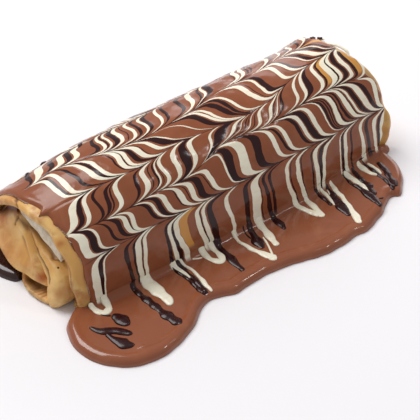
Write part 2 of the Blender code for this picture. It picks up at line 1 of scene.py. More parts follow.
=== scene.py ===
"""Crepe roll cake, dressed: marbled chocolate glaze over folded crepes and cream.

Lengths in the classes are millimetres, in the frame's own axes: X along the roll, Z up. Points are
scaled to metres as a mesh is made.
"""
import logging
import math
from collections.abc import Callable, Sequence
from dataclasses import dataclass, field, replace
from enum import Enum
from typing import Union

import bmesh
import bpy
import numpy as np
from mathutils import Matrix, Vector
from mathutils.geometry import delaunay_2d_cdt


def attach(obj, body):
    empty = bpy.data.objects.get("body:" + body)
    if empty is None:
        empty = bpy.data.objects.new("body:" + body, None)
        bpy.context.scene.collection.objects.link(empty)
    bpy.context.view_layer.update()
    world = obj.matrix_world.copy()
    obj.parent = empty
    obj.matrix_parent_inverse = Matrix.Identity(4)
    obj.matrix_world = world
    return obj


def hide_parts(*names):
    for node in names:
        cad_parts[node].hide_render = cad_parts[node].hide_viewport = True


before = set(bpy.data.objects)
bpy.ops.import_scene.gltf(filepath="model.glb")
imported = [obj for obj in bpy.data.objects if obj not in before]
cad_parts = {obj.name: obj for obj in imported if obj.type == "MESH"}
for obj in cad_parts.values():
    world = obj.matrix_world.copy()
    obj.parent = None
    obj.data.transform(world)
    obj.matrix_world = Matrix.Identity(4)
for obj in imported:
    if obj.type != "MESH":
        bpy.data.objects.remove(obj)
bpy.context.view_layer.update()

MM = 0.001
Array = np.ndarray
Number = float | Array
Pair = tuple[float, float]
Triple = tuple[float, float, float]
Colour = Triple
Rows = tuple[tuple[float, ...], ...]
Material = bpy.types.Material
Object = bpy.types.Object
Socket = bpy.types.NodeSocket
FAR_AWAY = 1000.0
# UV maps: the coat's poured places and band levels, over MARK_SCALE; the crepes' browning and painted
# shade.
COMB_MARK = "comb"
BAKE_AND_SHADE_MARK = "bake_and_shade"
MARK_SCALE = 100.0
GLAZE_SHINE = 0.3
POOL_SHINE = 0.5
# Roughly the arch's length from foot to foot, which turns a share of it into millimetres.
ARCH_LENGTH = 150.0
CURVE_STEP = 0.05
LEAST_STEPS = 3
LEAST_TIP = 0.02
LEAST_WIDTH = 0.3
log = logging.getLogger("crepe_roll_cake")


# ---- numbers
def blend(low: Number, high: Number, amount: Number) -> Number:
    """Mix two values."""
    return low + (high - low) * amount


def ease(amount: Number) -> Array:
    """A smooth step from 0 to 1."""
    amount = np.clip(amount, 0.0, 1.0)
    return amount * amount * (3 - 2 * amount)


def unit(vectors: Array) -> Array:
    """Vectors of length 1 along the last axis."""
    return vectors / np.maximum(np.linalg.norm(vectors, axis=-1, keepdims=True), 1e-9)


def srgb(red: int, green: int, blue: int) -> Colour:
    """A linear colour from its display values, 0 to 255."""
    return tuple(value / 12.92 if value <= 0.04045 else ((value + 0.055) / 1.055) ** 2.4
                 for value in (red / 255, green / 255, blue / 255))


@dataclass(frozen=True)
class Table:
    """Values along one axis, read on a smooth curve through the rows."""

    rows: Rows

    def at(self, x: Number) -> list[Array]:
        """Read every column.

        Args:
            x: Where to read, clamped to the table.

        Returns:
            One array for each column after the first.
        """
        rows = np.array(self.rows, float)
        knots = rows[:, 0]
        x = np.clip(np.asarray(x, float), knots[0], knots[-1])
        index = np.clip(np.searchsorted(knots, x, side="left") - 1, 0, len(knots) - 2)
        before = np.maximum(np.arange(len(knots)) - 1, 0)
        after = np.minimum(np.arange(len(knots)) + 1, len(knots) - 1)
        slopes = (rows[after] - rows[before]) / (knots[after] - knots[before])[:, None]
        step = knots[index + 1] - knots[index]
        u = (x - knots[index]) / step
        return [(2 * u**3 - 3 * u**2 + 1) * rows[index, column]
                + (u**3 - 2 * u**2 + u) * slopes[index, column] * step
                + (3 * u**2 - 2 * u**3) * rows[index + 1, column]
                + (u**3 - u**2) * slopes[index + 1, column] * step
                for column in range(1, rows.shape[1])]

    def value(self, x: Number) -> Array:
        """Read the first column."""
        return self.at(x)[0]


@dataclass(frozen=True)
class Waves:
    """Smooth seeded unevenness: sine waves in many directions."""

    length: float
    height: float
    seed: int
    count: int = 10
    spread: Pair = (0.6, 1.7)

    def at(self, *axes: Array) -> Array:
        """Read the waves.

        Args:
            axes: Coordinates, any number of them, of one shape.

        Returns:
            Values that mostly stay within one and a half times the height.
        """
        draw = np.random.default_rng(self.seed)
        total = 0.0
        for _ in range(self.count):
            direction = draw.normal(size=len(axes))
            direction /= np.linalg.norm(direction)
            turn = 2 * math.pi / (self.length * draw.uniform(*self.spread))
            phase = draw.uniform(0, 2 * math.pi)
            total = total + np.sin(turn * sum(a * d for a, d in zip(axes, direction)) + phase)
        return self.height * total / math.sqrt(self.count / 2)


def fall_back(place: Number) -> Array:
    """How far a round edge falls back: 0 at its crest, 1 where place is 1 or -1."""
    return 1 - np.sqrt(np.maximum(1 - place**2, 0.0))


def distances(path: Array) -> Array:
    """Distance along a line of places, from its start."""
    return np.concatenate([[0.0], np.cumsum(np.hypot(*np.diff(path[:, :2], axis=0).T))])


def smooth_path(points: Sequence[Sequence[float]], spacing: float, closed: bool) -> Array:
    """Evenly spaced points on a curve through the given ones.

    Args:
        points: Any number of coordinates each; the first two are the place.
        spacing: Distance between neighbours on the curve.
        closed: Whether the curve returns to its start.

    Returns:
        An array of points.
    """
    data = np.array(points, float)
    count = len(data)
    dense = []
    for index in range(count if closed else count - 1):
        ids = [index - 1, index, index + 1, index + 2]
        ids = [i % count for i in ids] if closed else [min(max(i, 0), count - 1) for i in ids]
        p0, p1, p2, p3 = data[ids]
        for u in np.arange(0, 1, CURVE_STEP):
            dense.append(0.5 * (2 * p1 + (p2 - p0) * u + (2 * p0 - 5 * p1 + 4 * p2 - p3) * u**2
                                + (3 * p1 - p0 - 3 * p2 + p3) * u**3))
    dense.append(data[0] if closed else data[-1])
    dense = np.array(dense)
    length = distances(dense)
    steps = max(int(round(length[-1] / spacing)), LEAST_STEPS)
    marks = np.linspace(0, length[-1], steps + 1)[:None if not closed else -1]
    return np.stack([np.interp(marks, length, dense[:, axis]) for axis in range(data.shape[1])], 1)


def end_tips(run: Array, width: Array) -> Array:
    """Round off the ends of a line.

    Args:
        run: Distance along it.
        width: Its width there.

    Returns:
        The share of the width and height that is left, less towards both ends.
    """
    ends = np.minimum(run, run[-1] - run) / np.maximum(width / 2, LEAST_WIDTH)
    return np.sqrt(np.clip(1 - np.clip(1 - ends, 0, 1) ** 2, LEAST_TIP, 1))


# ---- meshes
class Mesh:
    """Points and faces gathered for one object."""

    def __init__(self) -> None:
        """Start empty."""
        self.points: list[Array] = []
        self.faces: list[tuple[int, ...]] = []
        self.marks: list[Array] = []
        self.lifts: list[Array] = []
        self.kinds: dict[int, int] = {}
        self.count = 0

    def add(self, points: Array, marks: Array | None = None, lifts: Array | None = None) -> Array:
        """Add points.

        Args:
            points: An array whose last axis is x, y and z.
            marks: Two map values for each point, or None.
            lifts: How far each point moves out along its normal, or None.

        Returns:
            The points' numbers, in the same layout.
        """
        flat = np.reshape(points, (-1, 3))
        self.points.append(flat)
        self.marks.append(np.zeros((len(flat), 2)) if marks is None else np.reshape(marks, (-1, 2)))
        self.lifts.append(np.zeros(len(flat)) if lifts is None else np.ravel(lifts))
        numbers = np.arange(self.count, self.count + len(flat)).reshape(np.shape(points)[:-1])
        self.count += len(flat)
        return numbers

    def grid(self, ids: Array, wrap: bool = False, kinds: Sequence[int] = ()) -> None:
        """Add quads over a grid of point numbers.

        Args:
            ids: The numbers.
            wrap: Whether the last column joins the first.
            kinds: The material number of each column of quads, or nothing for the first material.
        """
        if wrap:
            ids = np.concatenate([ids, ids[:, :1]], 1)
        a, b, c, d = ids[:-1, :-1], ids[1:, :-1], ids[1:, 1:], ids[:-1, 1:]
        start, width = len(self.faces), ids.shape[1] - 1
        self.faces += [tuple(q) for q in np.stack([a, b, c, d], -1).reshape(-1, 4).tolist()]
        for column, kind in enumerate(kinds):
            self.kinds.update(dict.fromkeys(range(start + column, len(self.faces), width), kind))

    def strip(self, first: Sequence[int], second: Sequence[int]) -> None:
        """Add triangles between two open lines of points that run the same way.

        Args:
            first: The numbers of one line's points.
            second: The numbers of the other's.
        """
        i = j = 0
        while i < len(first) - 1 or j < len(second) - 1:
            if (i + 1) / len(first) <= (j + 1) / len(second) and i < len(first) - 1 \
                    or j >= len(second) - 1:
                self.faces.append((first[i], first[i + 1], second[j]))
                i += 1
            else:
                self.faces.append((first[i], second[j + 1], second[j]))
                j += 1

    def tube(self, rings: Sequence[Array]) -> None:
        """Add a closed tube with a flat face at each end.

        Args:
            rings: One line of points along the tube for each place round it.
        """
        ids = self.add(np.stack(rings, 1))
        self.grid(ids, wrap=True)
        self.faces += [tuple(ids[0].tolist()), tuple(ids[-1].tolist())]

    def make(self, name: str, materials: Sequence[Material], marked: str = "") -> Object:
        """Turn what was gathered into an object, with its faces turned outwards.

        Args:
            name: The object's name.
            materials: Its materials, by the faces' material numbers.
            marked: The name of the UV map that takes the marks, or nothing.

        Returns:
            The object, linked to the scene.
        """
        mesh = bpy.data.meshes.new(name)
        points = np.concatenate(self.points) * MM
        mesh.from_pydata(points.tolist(), [], self.faces)
        mesh.polygons.foreach_set("material_index",
                                  [self.kinds.get(face, 0) for face in range(len(self.faces))])
        solid = bmesh.new()
        solid.from_mesh(mesh)
        bmesh.ops.recalc_face_normals(solid, faces=solid.faces)
        solid.to_mesh(mesh)
        solid.free()
        normals = np.empty(3 * len(mesh.vertices), np.float32)
        mesh.vertex_normals.foreach_get("vector", normals)
        lifts = np.concatenate(self.lifts)[:, None] * MM
        points = points + normals.reshape(-1, 3) * lifts
        points[:, 2] = np.maximum(points[:, 2], 0.0)
        mesh.vertices.foreach_set("co", points.ravel())
        mesh.shade_smooth()
        if marked:
            corners = np.empty(len(mesh.loops), np.int32)
            mesh.loops.foreach_get("vertex_index", corners)
            layer = mesh.uv_layers.new(name=marked)
            layer.uv.foreach_set("vector", np.concatenate(self.marks)[corners].ravel())
        for material in materials:
            mesh.materials.append(material)
        piece = bpy.data.objects.new(name, mesh)
        bpy.context.scene.collection.objects.link(piece)
        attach(piece, "root")
        log.info("%s: %d points, %d faces", name, len(mesh.vertices), len(mesh.polygons))
        return piece


# ---- shading
Term = Union["Value", float]


class Value:
    """A shader value that takes part in sums as a number does."""

    def __init__(self, shader: "Shader", socket: Socket) -> None:
        """Wrap a socket of a shader's tree."""
        self.shader = shader
        self.socket = socket

    def _math(self, operation: str, *values: Term) -> "Value":
        """Add a Math node over some values."""
        node = self.shader.node("ShaderNodeMath", {"operation": operation}, dict(enumerate(values)))
        return Value(self.shader, node.outputs[0])

    def __add__(self, other: Term) -> "Value":
        """self + other."""
        return self._math("ADD", self, other)

    __radd__ = __add__

    def __sub__(self, other: Term) -> "Value":
        """self - other."""
        return self._math("SUBTRACT", self, other)

    def __rsub__(self, other: Term) -> "Value":
        """other - self."""
        return self._math("SUBTRACT", other, self)

    def __mul__(self, other: Term) -> "Value":
        """self * other."""
        return self._math("MULTIPLY", self, other)

    __rmul__ = __mul__

    def __truediv__(self, other: Term) -> "Value":
        """self / other."""
        return self._math("DIVIDE", self, other)

    def __rtruediv__(self, other: Term) -> "Value":
        """other / self."""
        return self._math("DIVIDE", other, self)

    def __abs__(self) -> "Value":
        """The value without its sign."""
        return self._math("ABSOLUTE", self)

    def largest(self, other: Term) -> "Value":
        """The larger of two values."""
        return self._math("MAXIMUM", self, other)

    def smallest(self, other: Term) -> "Value":
        """The smaller of two values."""
        return self._math("MINIMUM", self, other)

    def fraction(self) -> "Value":
        """The part after the point."""
        return self._math("FRACT", self)

    def above(self, limit: float) -> "Value":
        """1 where the value is above a limit, else 0."""
        return self._math("GREATER_THAN", self, limit)

    def within(self, middle: Term, reach: float) -> "Value":
        """1 where the value is no further than reach from middle, else 0."""
        return self._math("COMPARE", self, middle, reach)

    def between(self, low: float, high: float) -> "Value":
        """A smooth step from 0 at low to 1 at high."""
        node = self.shader.node("ShaderNodeMapRange", {"interpolation_type": "SMOOTHSTEP"},
                                {"Value": self, "From Min": low, "From Max": high})
        return Value(self.shader, node.outputs[0])


class Shader:
    """One material's node tree."""

    def __init__(self, name: str, **constants: float | tuple[float, ...]) -> None:
        """Start a material.

        Args:
            name: The material's name.
            constants: Values for the shader's own sockets, with underscores for spaces.
        """
        self.material = bpy.data.materials.new(name)
        self.material.use_nodes = True
        self.tree = self.material.node_tree
        self.surface = self.tree.nodes["Principled BSDF"]
        for key, value in constants.items():
            self.surface.inputs[key.replace("_", " ")].default_value = value

    def node(self, kind: str, settings: dict, sockets: dict) -> bpy.types.Node:
        """Add a node.

        Args:
            kind: Its type.
            settings: Its attributes, set first.
            sockets: Values or links by input name or number.

        Returns:
            The node.
        """
        made = self.tree.nodes.new(kind)
        for key, value in settings.items():
            setattr(made, key, value)
        for key, value in sockets.items():
            self._feed(made.inputs[key], value)
        return made

    def _feed(self, socket: Socket, value: object) -> None:
        """Link or set one input.

        Args:
            socket: The input.
            value: A value or socket to link, or a number, vector or colour to set.
        """
        if isinstance(value, Value):
            self.tree.links.new(value.socket, socket)
        elif isinstance(value, Socket):
            self.tree.links.new(value, socket)
        elif socket.type == "RGBA":
            socket.default_value = (*value, 1.0)
        else:
            socket.default_value = value

    def place(self) -> Socket:
        """The surface point in the object's own space."""
        return self.node("ShaderNodeTexCoord", {}, {}).outputs["Object"]

    def marked(self, name: str) -> tuple[Value, Value]:
        """Both values of a UV map."""
        split = self.node("ShaderNodeSeparateXYZ", {}, {
            0: self.node("ShaderNodeUVMap", {"uv_map": name}, {}).outputs[0]})
        return Value(self, split.outputs[0]), Value(self, split.outputs[1])

    def along(self) -> Value:
        """Place along the roll in millimetres."""
        split = self.node("ShaderNodeSeparateXYZ", {}, {0: self.place()})
        return Value(self, split.outputs[0]) / MM

    def gap(self, point: Triple) -> Value:
        """Distance from a point in millimetres."""
        node = self.node("ShaderNodeVectorMath", {"operation": "DISTANCE"},
                         {0: self.place(), 1: tuple(value * MM for value in point)})
        return Value(self, node.outputs["Value"]) / MM

    def stretched(self, along: float) -> Socket:
        """The surface point in millimetres, with its place along the roll scaled."""
        return self.node("ShaderNodeVectorMath", {"operation": "MULTIPLY"},
                         {0: self.place(), 1: (along / MM, 1 / MM, 1 / MM)}).outputs[0]

    def noise(self, size: float, detail: float = 3.0, roughness: float = 0.6, distortion: float = 0.0,
              along: float = 1.0) -> Value:
        """Noise from 0 to 1.

        Args:
            size: The size of its lumps in millimetres, about.
            detail: How many finer layers it has.
            roughness: How strong they are.
            distortion: How far they are bent.
            along: A factor for the place along the roll, under 1 for long lumps.

        Returns:
            The noise.
        """
        node = self.node("ShaderNodeTexNoise", {}, {
            "Vector": self.stretched(along), "Scale": 1 / size, "Detail": detail,
            "Roughness": roughness, "Distortion": distortion})
        return Value(self, node.outputs[0])

    def mix(self, first: object, second: object, amount: Term) -> Socket:
        """Mix two colours; amount is the second one's share."""
        node = self.node("ShaderNodeMix", {"data_type": "RGBA"}, {0: amount, 6: first, 7: second})
        return node.outputs[2]

    def bump(self, height: Value, distance: float, strength: float = 1.0) -> None:
        """Feed the normal from a height in millimetres times the distance."""
        node = self.node("ShaderNodeBump", {}, {"Height": height, "Distance": distance * MM,
                                                "Strength": strength})
        self.tree.links.new(node.outputs[0], self.surface.inputs["Normal"])

    def feed(self, **values: object) -> None:
        """Link values to the shader's own sockets, with underscores for spaces."""
        for key, value in values.items():
            self._feed(self.surface.inputs[key.replace("_", " ")], value)


# ---- the roll
@dataclass(frozen=True)
class Roll:
    """The shape that every piece follows: the glazed dome and the room inside the wrap."""

    dome: Table = Table((
        (-130, -1, 44, 49), (-106, -1, 44, 50), (-90, -1.8, 44, 55),
        (-70, -2.5, 44, 59.2), (-45, -3.2, 44, 61.8), (0, -4, 44, 62),
        (50, -4.1, 43.4, 61.5), (80, -2, 42.8, 58.8), (98, 0.6, 42.6, 59.6),
        (125, 5, 42.2, 56)))
    squareness: float = 2.15
    gap: float = 0.3
    glaze: float = 2.0
    crepe: float = 4.8
    floor: float = 2.6
    inner_gap: float = 0.6
    puff: float = 2.8
    puff_length: float = 4.0
    glaze_left: Table = Table(((0, -103.5), (0.2, -103), (0.35, -105), (0.45, -107.5),
                               (0.55, -110), (0.7, -111), (1, -107.5)))
    glaze_right: Table = Table(((0, 108), (0.05, 110), (0.1, 112.5), (0.18, 114.6),
                                (0.24, 113.4), (0.3, 110), (0.36, 106.8), (0.42, 103.4),
                                (0.5, 100.8), (0.6, 98.8), (0.8, 97.5), (1, 97)))
    wrap_left: Table = Table(((0, -109), (0.1, -110.5), (0.2, -109.5), (0.35, -110.5),
                              (0.45, -112), (0.55, -114), (0.7, -115), (0.9, -112),
                              (1, -109)))
    wrap_right: Table = Table(((0, 113), (0.05, 118), (0.1, 119.3), (0.16, 117.3),
                               (0.24, 117), (0.3, 114.2), (0.36, 110.4), (0.42, 107.2),
                               (0.5, 104.6), (0.6, 102.2), (0.8, 101), (1, 100.5)))
    near_y: float = -36.0
    filling_span: float = 70.0
    filling_turns: Pair = (0.05, 0.95)
    shortfall: float = 3.0
    drawn_x: float = -106.0
    open_x: float = -103.0
    open_run: float = 5.0
    slack: float = 0.1
    slack_x: float = -108.0
    slack_run: float = 8.0

    def arch(self, x: Number, turn: Number, inset: Number, base: Number = 0.0) -> tuple[Array, Array]:
        """A point of the dome's section.

        Args:
            x: Place along the roll.
            turn: 0 at the near foot to 1 at the far foot.
            inset: How far inside the glazed surface.
            base: Height of the section's feet.

        Returns:
            y and z.
        """
        centre, half, height = self.dome.at(x)
        cosine, sine = np.cos(np.pi * turn), np.abs(np.sin(np.pi * turn))
        power = 2 / self.squareness
        y = centre - (half - inset) * np.copysign(np.abs(cosine) ** power, cosine)
        return y, base + (height - inset - base) * sine**power

    def wrap_inset(self, x: Number, turn: Number) -> Array:
        """How far the wrap's outside lies below the glazed surface.

        Args:
            x: Place along the roll.
            turn: 0 at the near foot to 1 at the far foot.

        Returns:
            A depth, under 0 where the bare rim puffs out past the glaze.
        """
        edge = self.glaze_right.value(turn)
        return (self.glaze + self.gap
                - self.puff * ease((x - edge - 2 * self.gap) / self.puff_length))

    def inside(self, x: Number) -> tuple[Array, Array, Array, Array]:
        """The room inside the wrap.

        Args:
            x: Place along the roll.

        Returns:
            Its centre, half width, height and floor.
        """
        centre, half, height = self.dome.at(x)
        inset = self.glaze + self.gap + self.crepe + self.inner_gap
        floor = blend(self.floor + self.inner_gap, self.gap, ease((self.open_x - x) / self.open_run))
        return centre, half - inset, height - inset, floor

    def settle(self, x: Array, y: Array, z: Array) -> tuple[Array, Array]:
        """Fit a point drawn on the left end's section into the wrap.

        Args:
            x: Place along the roll.
            y: Drawn across.
            z: Drawn up.

        Returns:
            y and z at x.
        """
        reference_centre, reference_half, reference_height, _ = self.inside(self.drawn_x)
        centre, half, height, floor = self.inside(x)
        across = (y - reference_centre) / reference_half
        up = np.maximum(z / reference_height, 0.0)
        reach = (np.abs(across) ** self.squareness + up**self.squareness) ** (1 / self.squareness)
        limit = 1.0 + self.slack * ease((self.slack_x - x) / self.slack_run)
        share = np.minimum(limit / np.maximum(reach, 1e-6), 1.0)
        return centre + across * share * half, floor + up * share * (height - floor)

    def right_end(self, y: Array) -> Array:
        """Where the filling ends at the right, for a y of the filling."""
        turn = np.clip((y - self.near_y) / self.filling_span, *self.filling_turns)
        return self.wrap_right.value(turn) - self.shortfall


# ---- the combed pattern
# Where the poured stripes cross each combed band, from the near foot up: the middle of the stripe low
# and high in the band, along X before the combing, and its half width.
WHITE_STRIPES = (
    ((-98.8, -100, 2.3), (-93.8, -93.1, 0.6), (-72.1, -73.6, 1.8), (-67.8, -69.2, 1.25),
     (-48.8, -51.6, 1.2), (-43.3, -47.5, 1.6), (-29.4, -34.8, 1.6), (-25.5, -29.8, 1.4),
     (-9.4, -14.9, 1.3), (7.6, 5.2, 2.7), (33.3, 29, 1.4), (40, 37.2, 1.3), (52.5, 51.1, 1.6),
     (57.3, 58.7, 1.35), (72, 70.6, 0.45), (76.2, 75.1, 1.3), (91.2, 88.5, 1.5), (102.4, 101.4, 1.5),
     (109, 108.6, 1.6)),
    ((-101, -97.6, 2.1), (-92.7, -89.9, 0.9), (-74.5, -71.2, 1.3), (-71.6, -66.8, 1.2),
     (-54.8, -54.9, 0.9), (-47.9, -46.3, 1.6), (-39.4, -36.9, 1.5), (-33.3, -29.8, 1.6),
     (-19.2, -17.7, 1.45), (-7.4, -5.4, 0.7), (3.9, 7, 2.8), (27.2, 27.7, 1.4), (36.5, 35.6, 1.3),
     (49.5, 48.4, 1.3), (58.5, 57.7, 1.6), (66.8, 65.6, 0.5), (75.8, 74.6, 1.8), (86, 84.5, 1.7),
     (90.4, 88.9, 0.8), (98.6, 97, 2.1), (107, 111.5, 2)),
    ((-97, -96.4, 1.9), (-88.8, -90, 1.3), (-70, -72.7, 1.3), (-52.9, -56.7, 1.5), (-45, -48, 0.6),
     (-38.8, -44.2, 1.4), (-30.8, -34.2, 1.6), (-19.8, -23.1, 1.6), (-5.8, -9.6, 0.9), (8.5, 6.8, 1.1),
     (12.4, 10.8, 0.3), (19.5, 17.8, 0.4), (27.5, 24.6, 1.3), (35.8, 33.7, 1.2), (40.6, 38.6, 0.4),
     (57, 55.8, 1.5), (65.6, 62.3, 1.3), (77.5, 74.2, 1.6), (87.6, 83.3, 1.9), (92, 87.2, 1.1),
     (99.2, 94.4, 1.4), (110.2, 104.4, 1.5)),
    ((-95.8, -95.2, 1.2), (-91, -89, 1.4), (-77, -75.8, 1.5), (-72, -69.5, 1.3), (-60.5, -55.8, 1.6),
     (-56.5, -52.3, 1.2), (-47.5, -46, 1.6), (-37.8, -38.4, 1.4), (-27.7, -30.3, 0.5), (-13.5, -17, 0.4),
     (2.5, -1.5, 1.4), (5.4, 2.5, 1), (20, 15.6, 1), (32.5, 31, 1.8), (39.5, 41, 1), (54.4, 58.5, 1.6),
     (64.6, 64, 1.4), (77, 75, 0.6), (84.5, 83, 2), (92, 91, 0.5)),
    ((-92.6, -92.6, 2.4), (-80, -80, 1.9), (-71.2, -72.4, 1.4), (-57, -60, 1), (-53.2, -56, 0.7),
     (-46.8, -49.6, 1.1), (-39.8, -42.6, 1.1), (-31, -32.6, 1.1), (-19.8, -21.6, 1), (3.6, 3, 2),
     (14.6, 13.6, 0.9), (38.4, 38, 1.6), (43.4, 43.4, 1.6), (63.3, 63.3, 1.9), (76, 75, 1), (85, 84, 1.1),
     (97, 96, 1.2)))
DARK_STRIPES = (
    ((-95.6, -95.8, 1.5), (-78.4, -80.3, 1.1), (-74.3, -76, 0.9), (-69.7, -71.1, 0.3), (-51.9, -53.8, 1.1),
     (-46.6, -49.4, 1.3), (-27.3, -32.5, 0.4), (-21.8, -24.8, 2), (1.2, -1.3, 1.7), (11.2, 8.6, 0.3),
     (15.4, 12, 1.2), (18.8, 16.5, 1.1), (35.4, 32, 0.35), (41.6, 39.9, 0.4), (48.8, 48.1, 0.7),
     (54.8, 55.4, 1.3), (74, 72.3, 0.9), (80.8, 79.8, 0.7), (96.2, 94.2, 1.6), (106.3, 105.2, 1.2)),
    ((-96, -93.1, 1.9), (-83.5, -81, 1), (-78.3, -74.7, 1.3), (-72.9, -69.4, 0.25), (-57.9, -57.6, 1.2),
     (-52.1, -50.4, 1.6), (-41.4, -39, 0.3), (-35.8, -33, 0.3), (-27.9, -24.8, 2.2), (-21.6, -20.6, 0.3),
     (-4.6, -1, 2.6), (14.5, 18, 2.8), (34, 31.5, 0.9), (45.6, 45.3, 1.2), (54, 52.5, 2.3), (69, 67.2, 1),
     (71.2, 69.6, 0.6), (73, 71.4, 0.5), (78.6, 77.4, 0.7), (82, 80.4, 1), (88.3, 86.6, 0.4),
     (94, 92.3, 1.7), (103, 101.4, 1.7), (113.5, 117.5, 1.2)),
    ((-92.8, -93.3, 1.4), (-79.6, -85, 1), (-76.2, -77.3, 1), (-74.2, -75.2, 0.4), (-58.2, -60.8, 1),
     (-49.8, -53, 0.4), (-46, -50, 0.7), (-42.6, -46.4, 0.3), (-24.6, -28.3, 2.5), (-0.2, -1.6, 4.2),
     (10.6, 9, 0.4), (15.6, 14, 0.5), (17.6, 16, 0.3), (23, 21.2, 0.4), (38, 36, 0.4), (44, 42, 1.1),
     (69, 65.8, 1.7), (81, 77.9, 0.9), (90, 85.6, 0.5), (95.4, 90.8, 1.5), (103.4, 97.6, 1.3)),
    ((-93.9, -93.1, 0.8), (-84.5, -83, 1.1), (-74.5, -72.5, 1.1), (-63, -59.8, 0.6), (-58.4, -54, 0.3),
     (-51.7, -49.4, 1.4), (-45, -43.8, 0.3), (-31.6, -33.2, 2.6), (-3.5, -6.5, 2.8), (12, 8.6, 1.6),
     (15.4, 12.8, 1.2), (35.8, 35.2, 0.3), (42.5, 44.8, 1.9), (68, 66, 1.2), (79.5, 77.6, 1.4),
     (89.5, 88, 1.6), (95, 93.4, 1)),
    ((-98.4, -99.4, 1.3), (-85, -86, 1.5), (-75, -76.2, 1.5), (-61, -63.4, 1.2), (-55.2, -57.8, 0.5),
     (-49.8, -52.4, 1.4), (-43.6, -46.2, 0.3), (-36.2, -38.2, 1.1), (-28, -29.4, 1.4), (-15.6, -17.2, 1),
     (-4.6, -5.6, 1.5), (11.4, 11, 0.9), (18, 17.4, 2), (35.6, 35.6, 0.3), (47.6, 47.4, 0.8),
     (50.4, 50, 0.6), (68, 67.6, 1.2), (81.8, 81, 0.8), (91.6, 90.8, 1), (101, 100.4, 1.2)))
BARE_STRIPES = (
    ((-39.2, -43.4, 2.2),),
    (),
    ((83.6, 80, 1.7), (106.6, 100.8, 1.9)),
    ((102, 97.5, 1.6),),
    ())


class Tone(Enum):
    """What shows along a poured stripe."""

    BARE = "bare crepe"
    DARK = "dark chocolate"
    WHITE = "white chocolate"


@dataclass(frozen=True)
class CombLine:
    """One drag of a pick along the roll, through the poured stripes."""

    way: int
    pull: Table
    height: Table
    sharp: float = 1.5
    broad: float = 6.0
    sharp_share: float = 0.78

    def drag(self, x: Array, arc: Array) -> Array:
        """How far the glaze was dragged along X.

        Args:
            x: Place along the roll.
            arc: Arc length up from the near foot.

        Returns:
            A signed distance.
        """
        away = np.abs(arc - self.height.value(x))
        fall = (self.sharp_share * np.exp(-away / self.sharp)
                + (1 - self.sharp_share) * np.exp(-away / self.broad))
        return self.way * self.pull.value(x) * fall

    def away(self, x: Array, arc: Array) -> Array:
        """Signed distance up the surface from the line."""
        return arc - self.height.value(x)


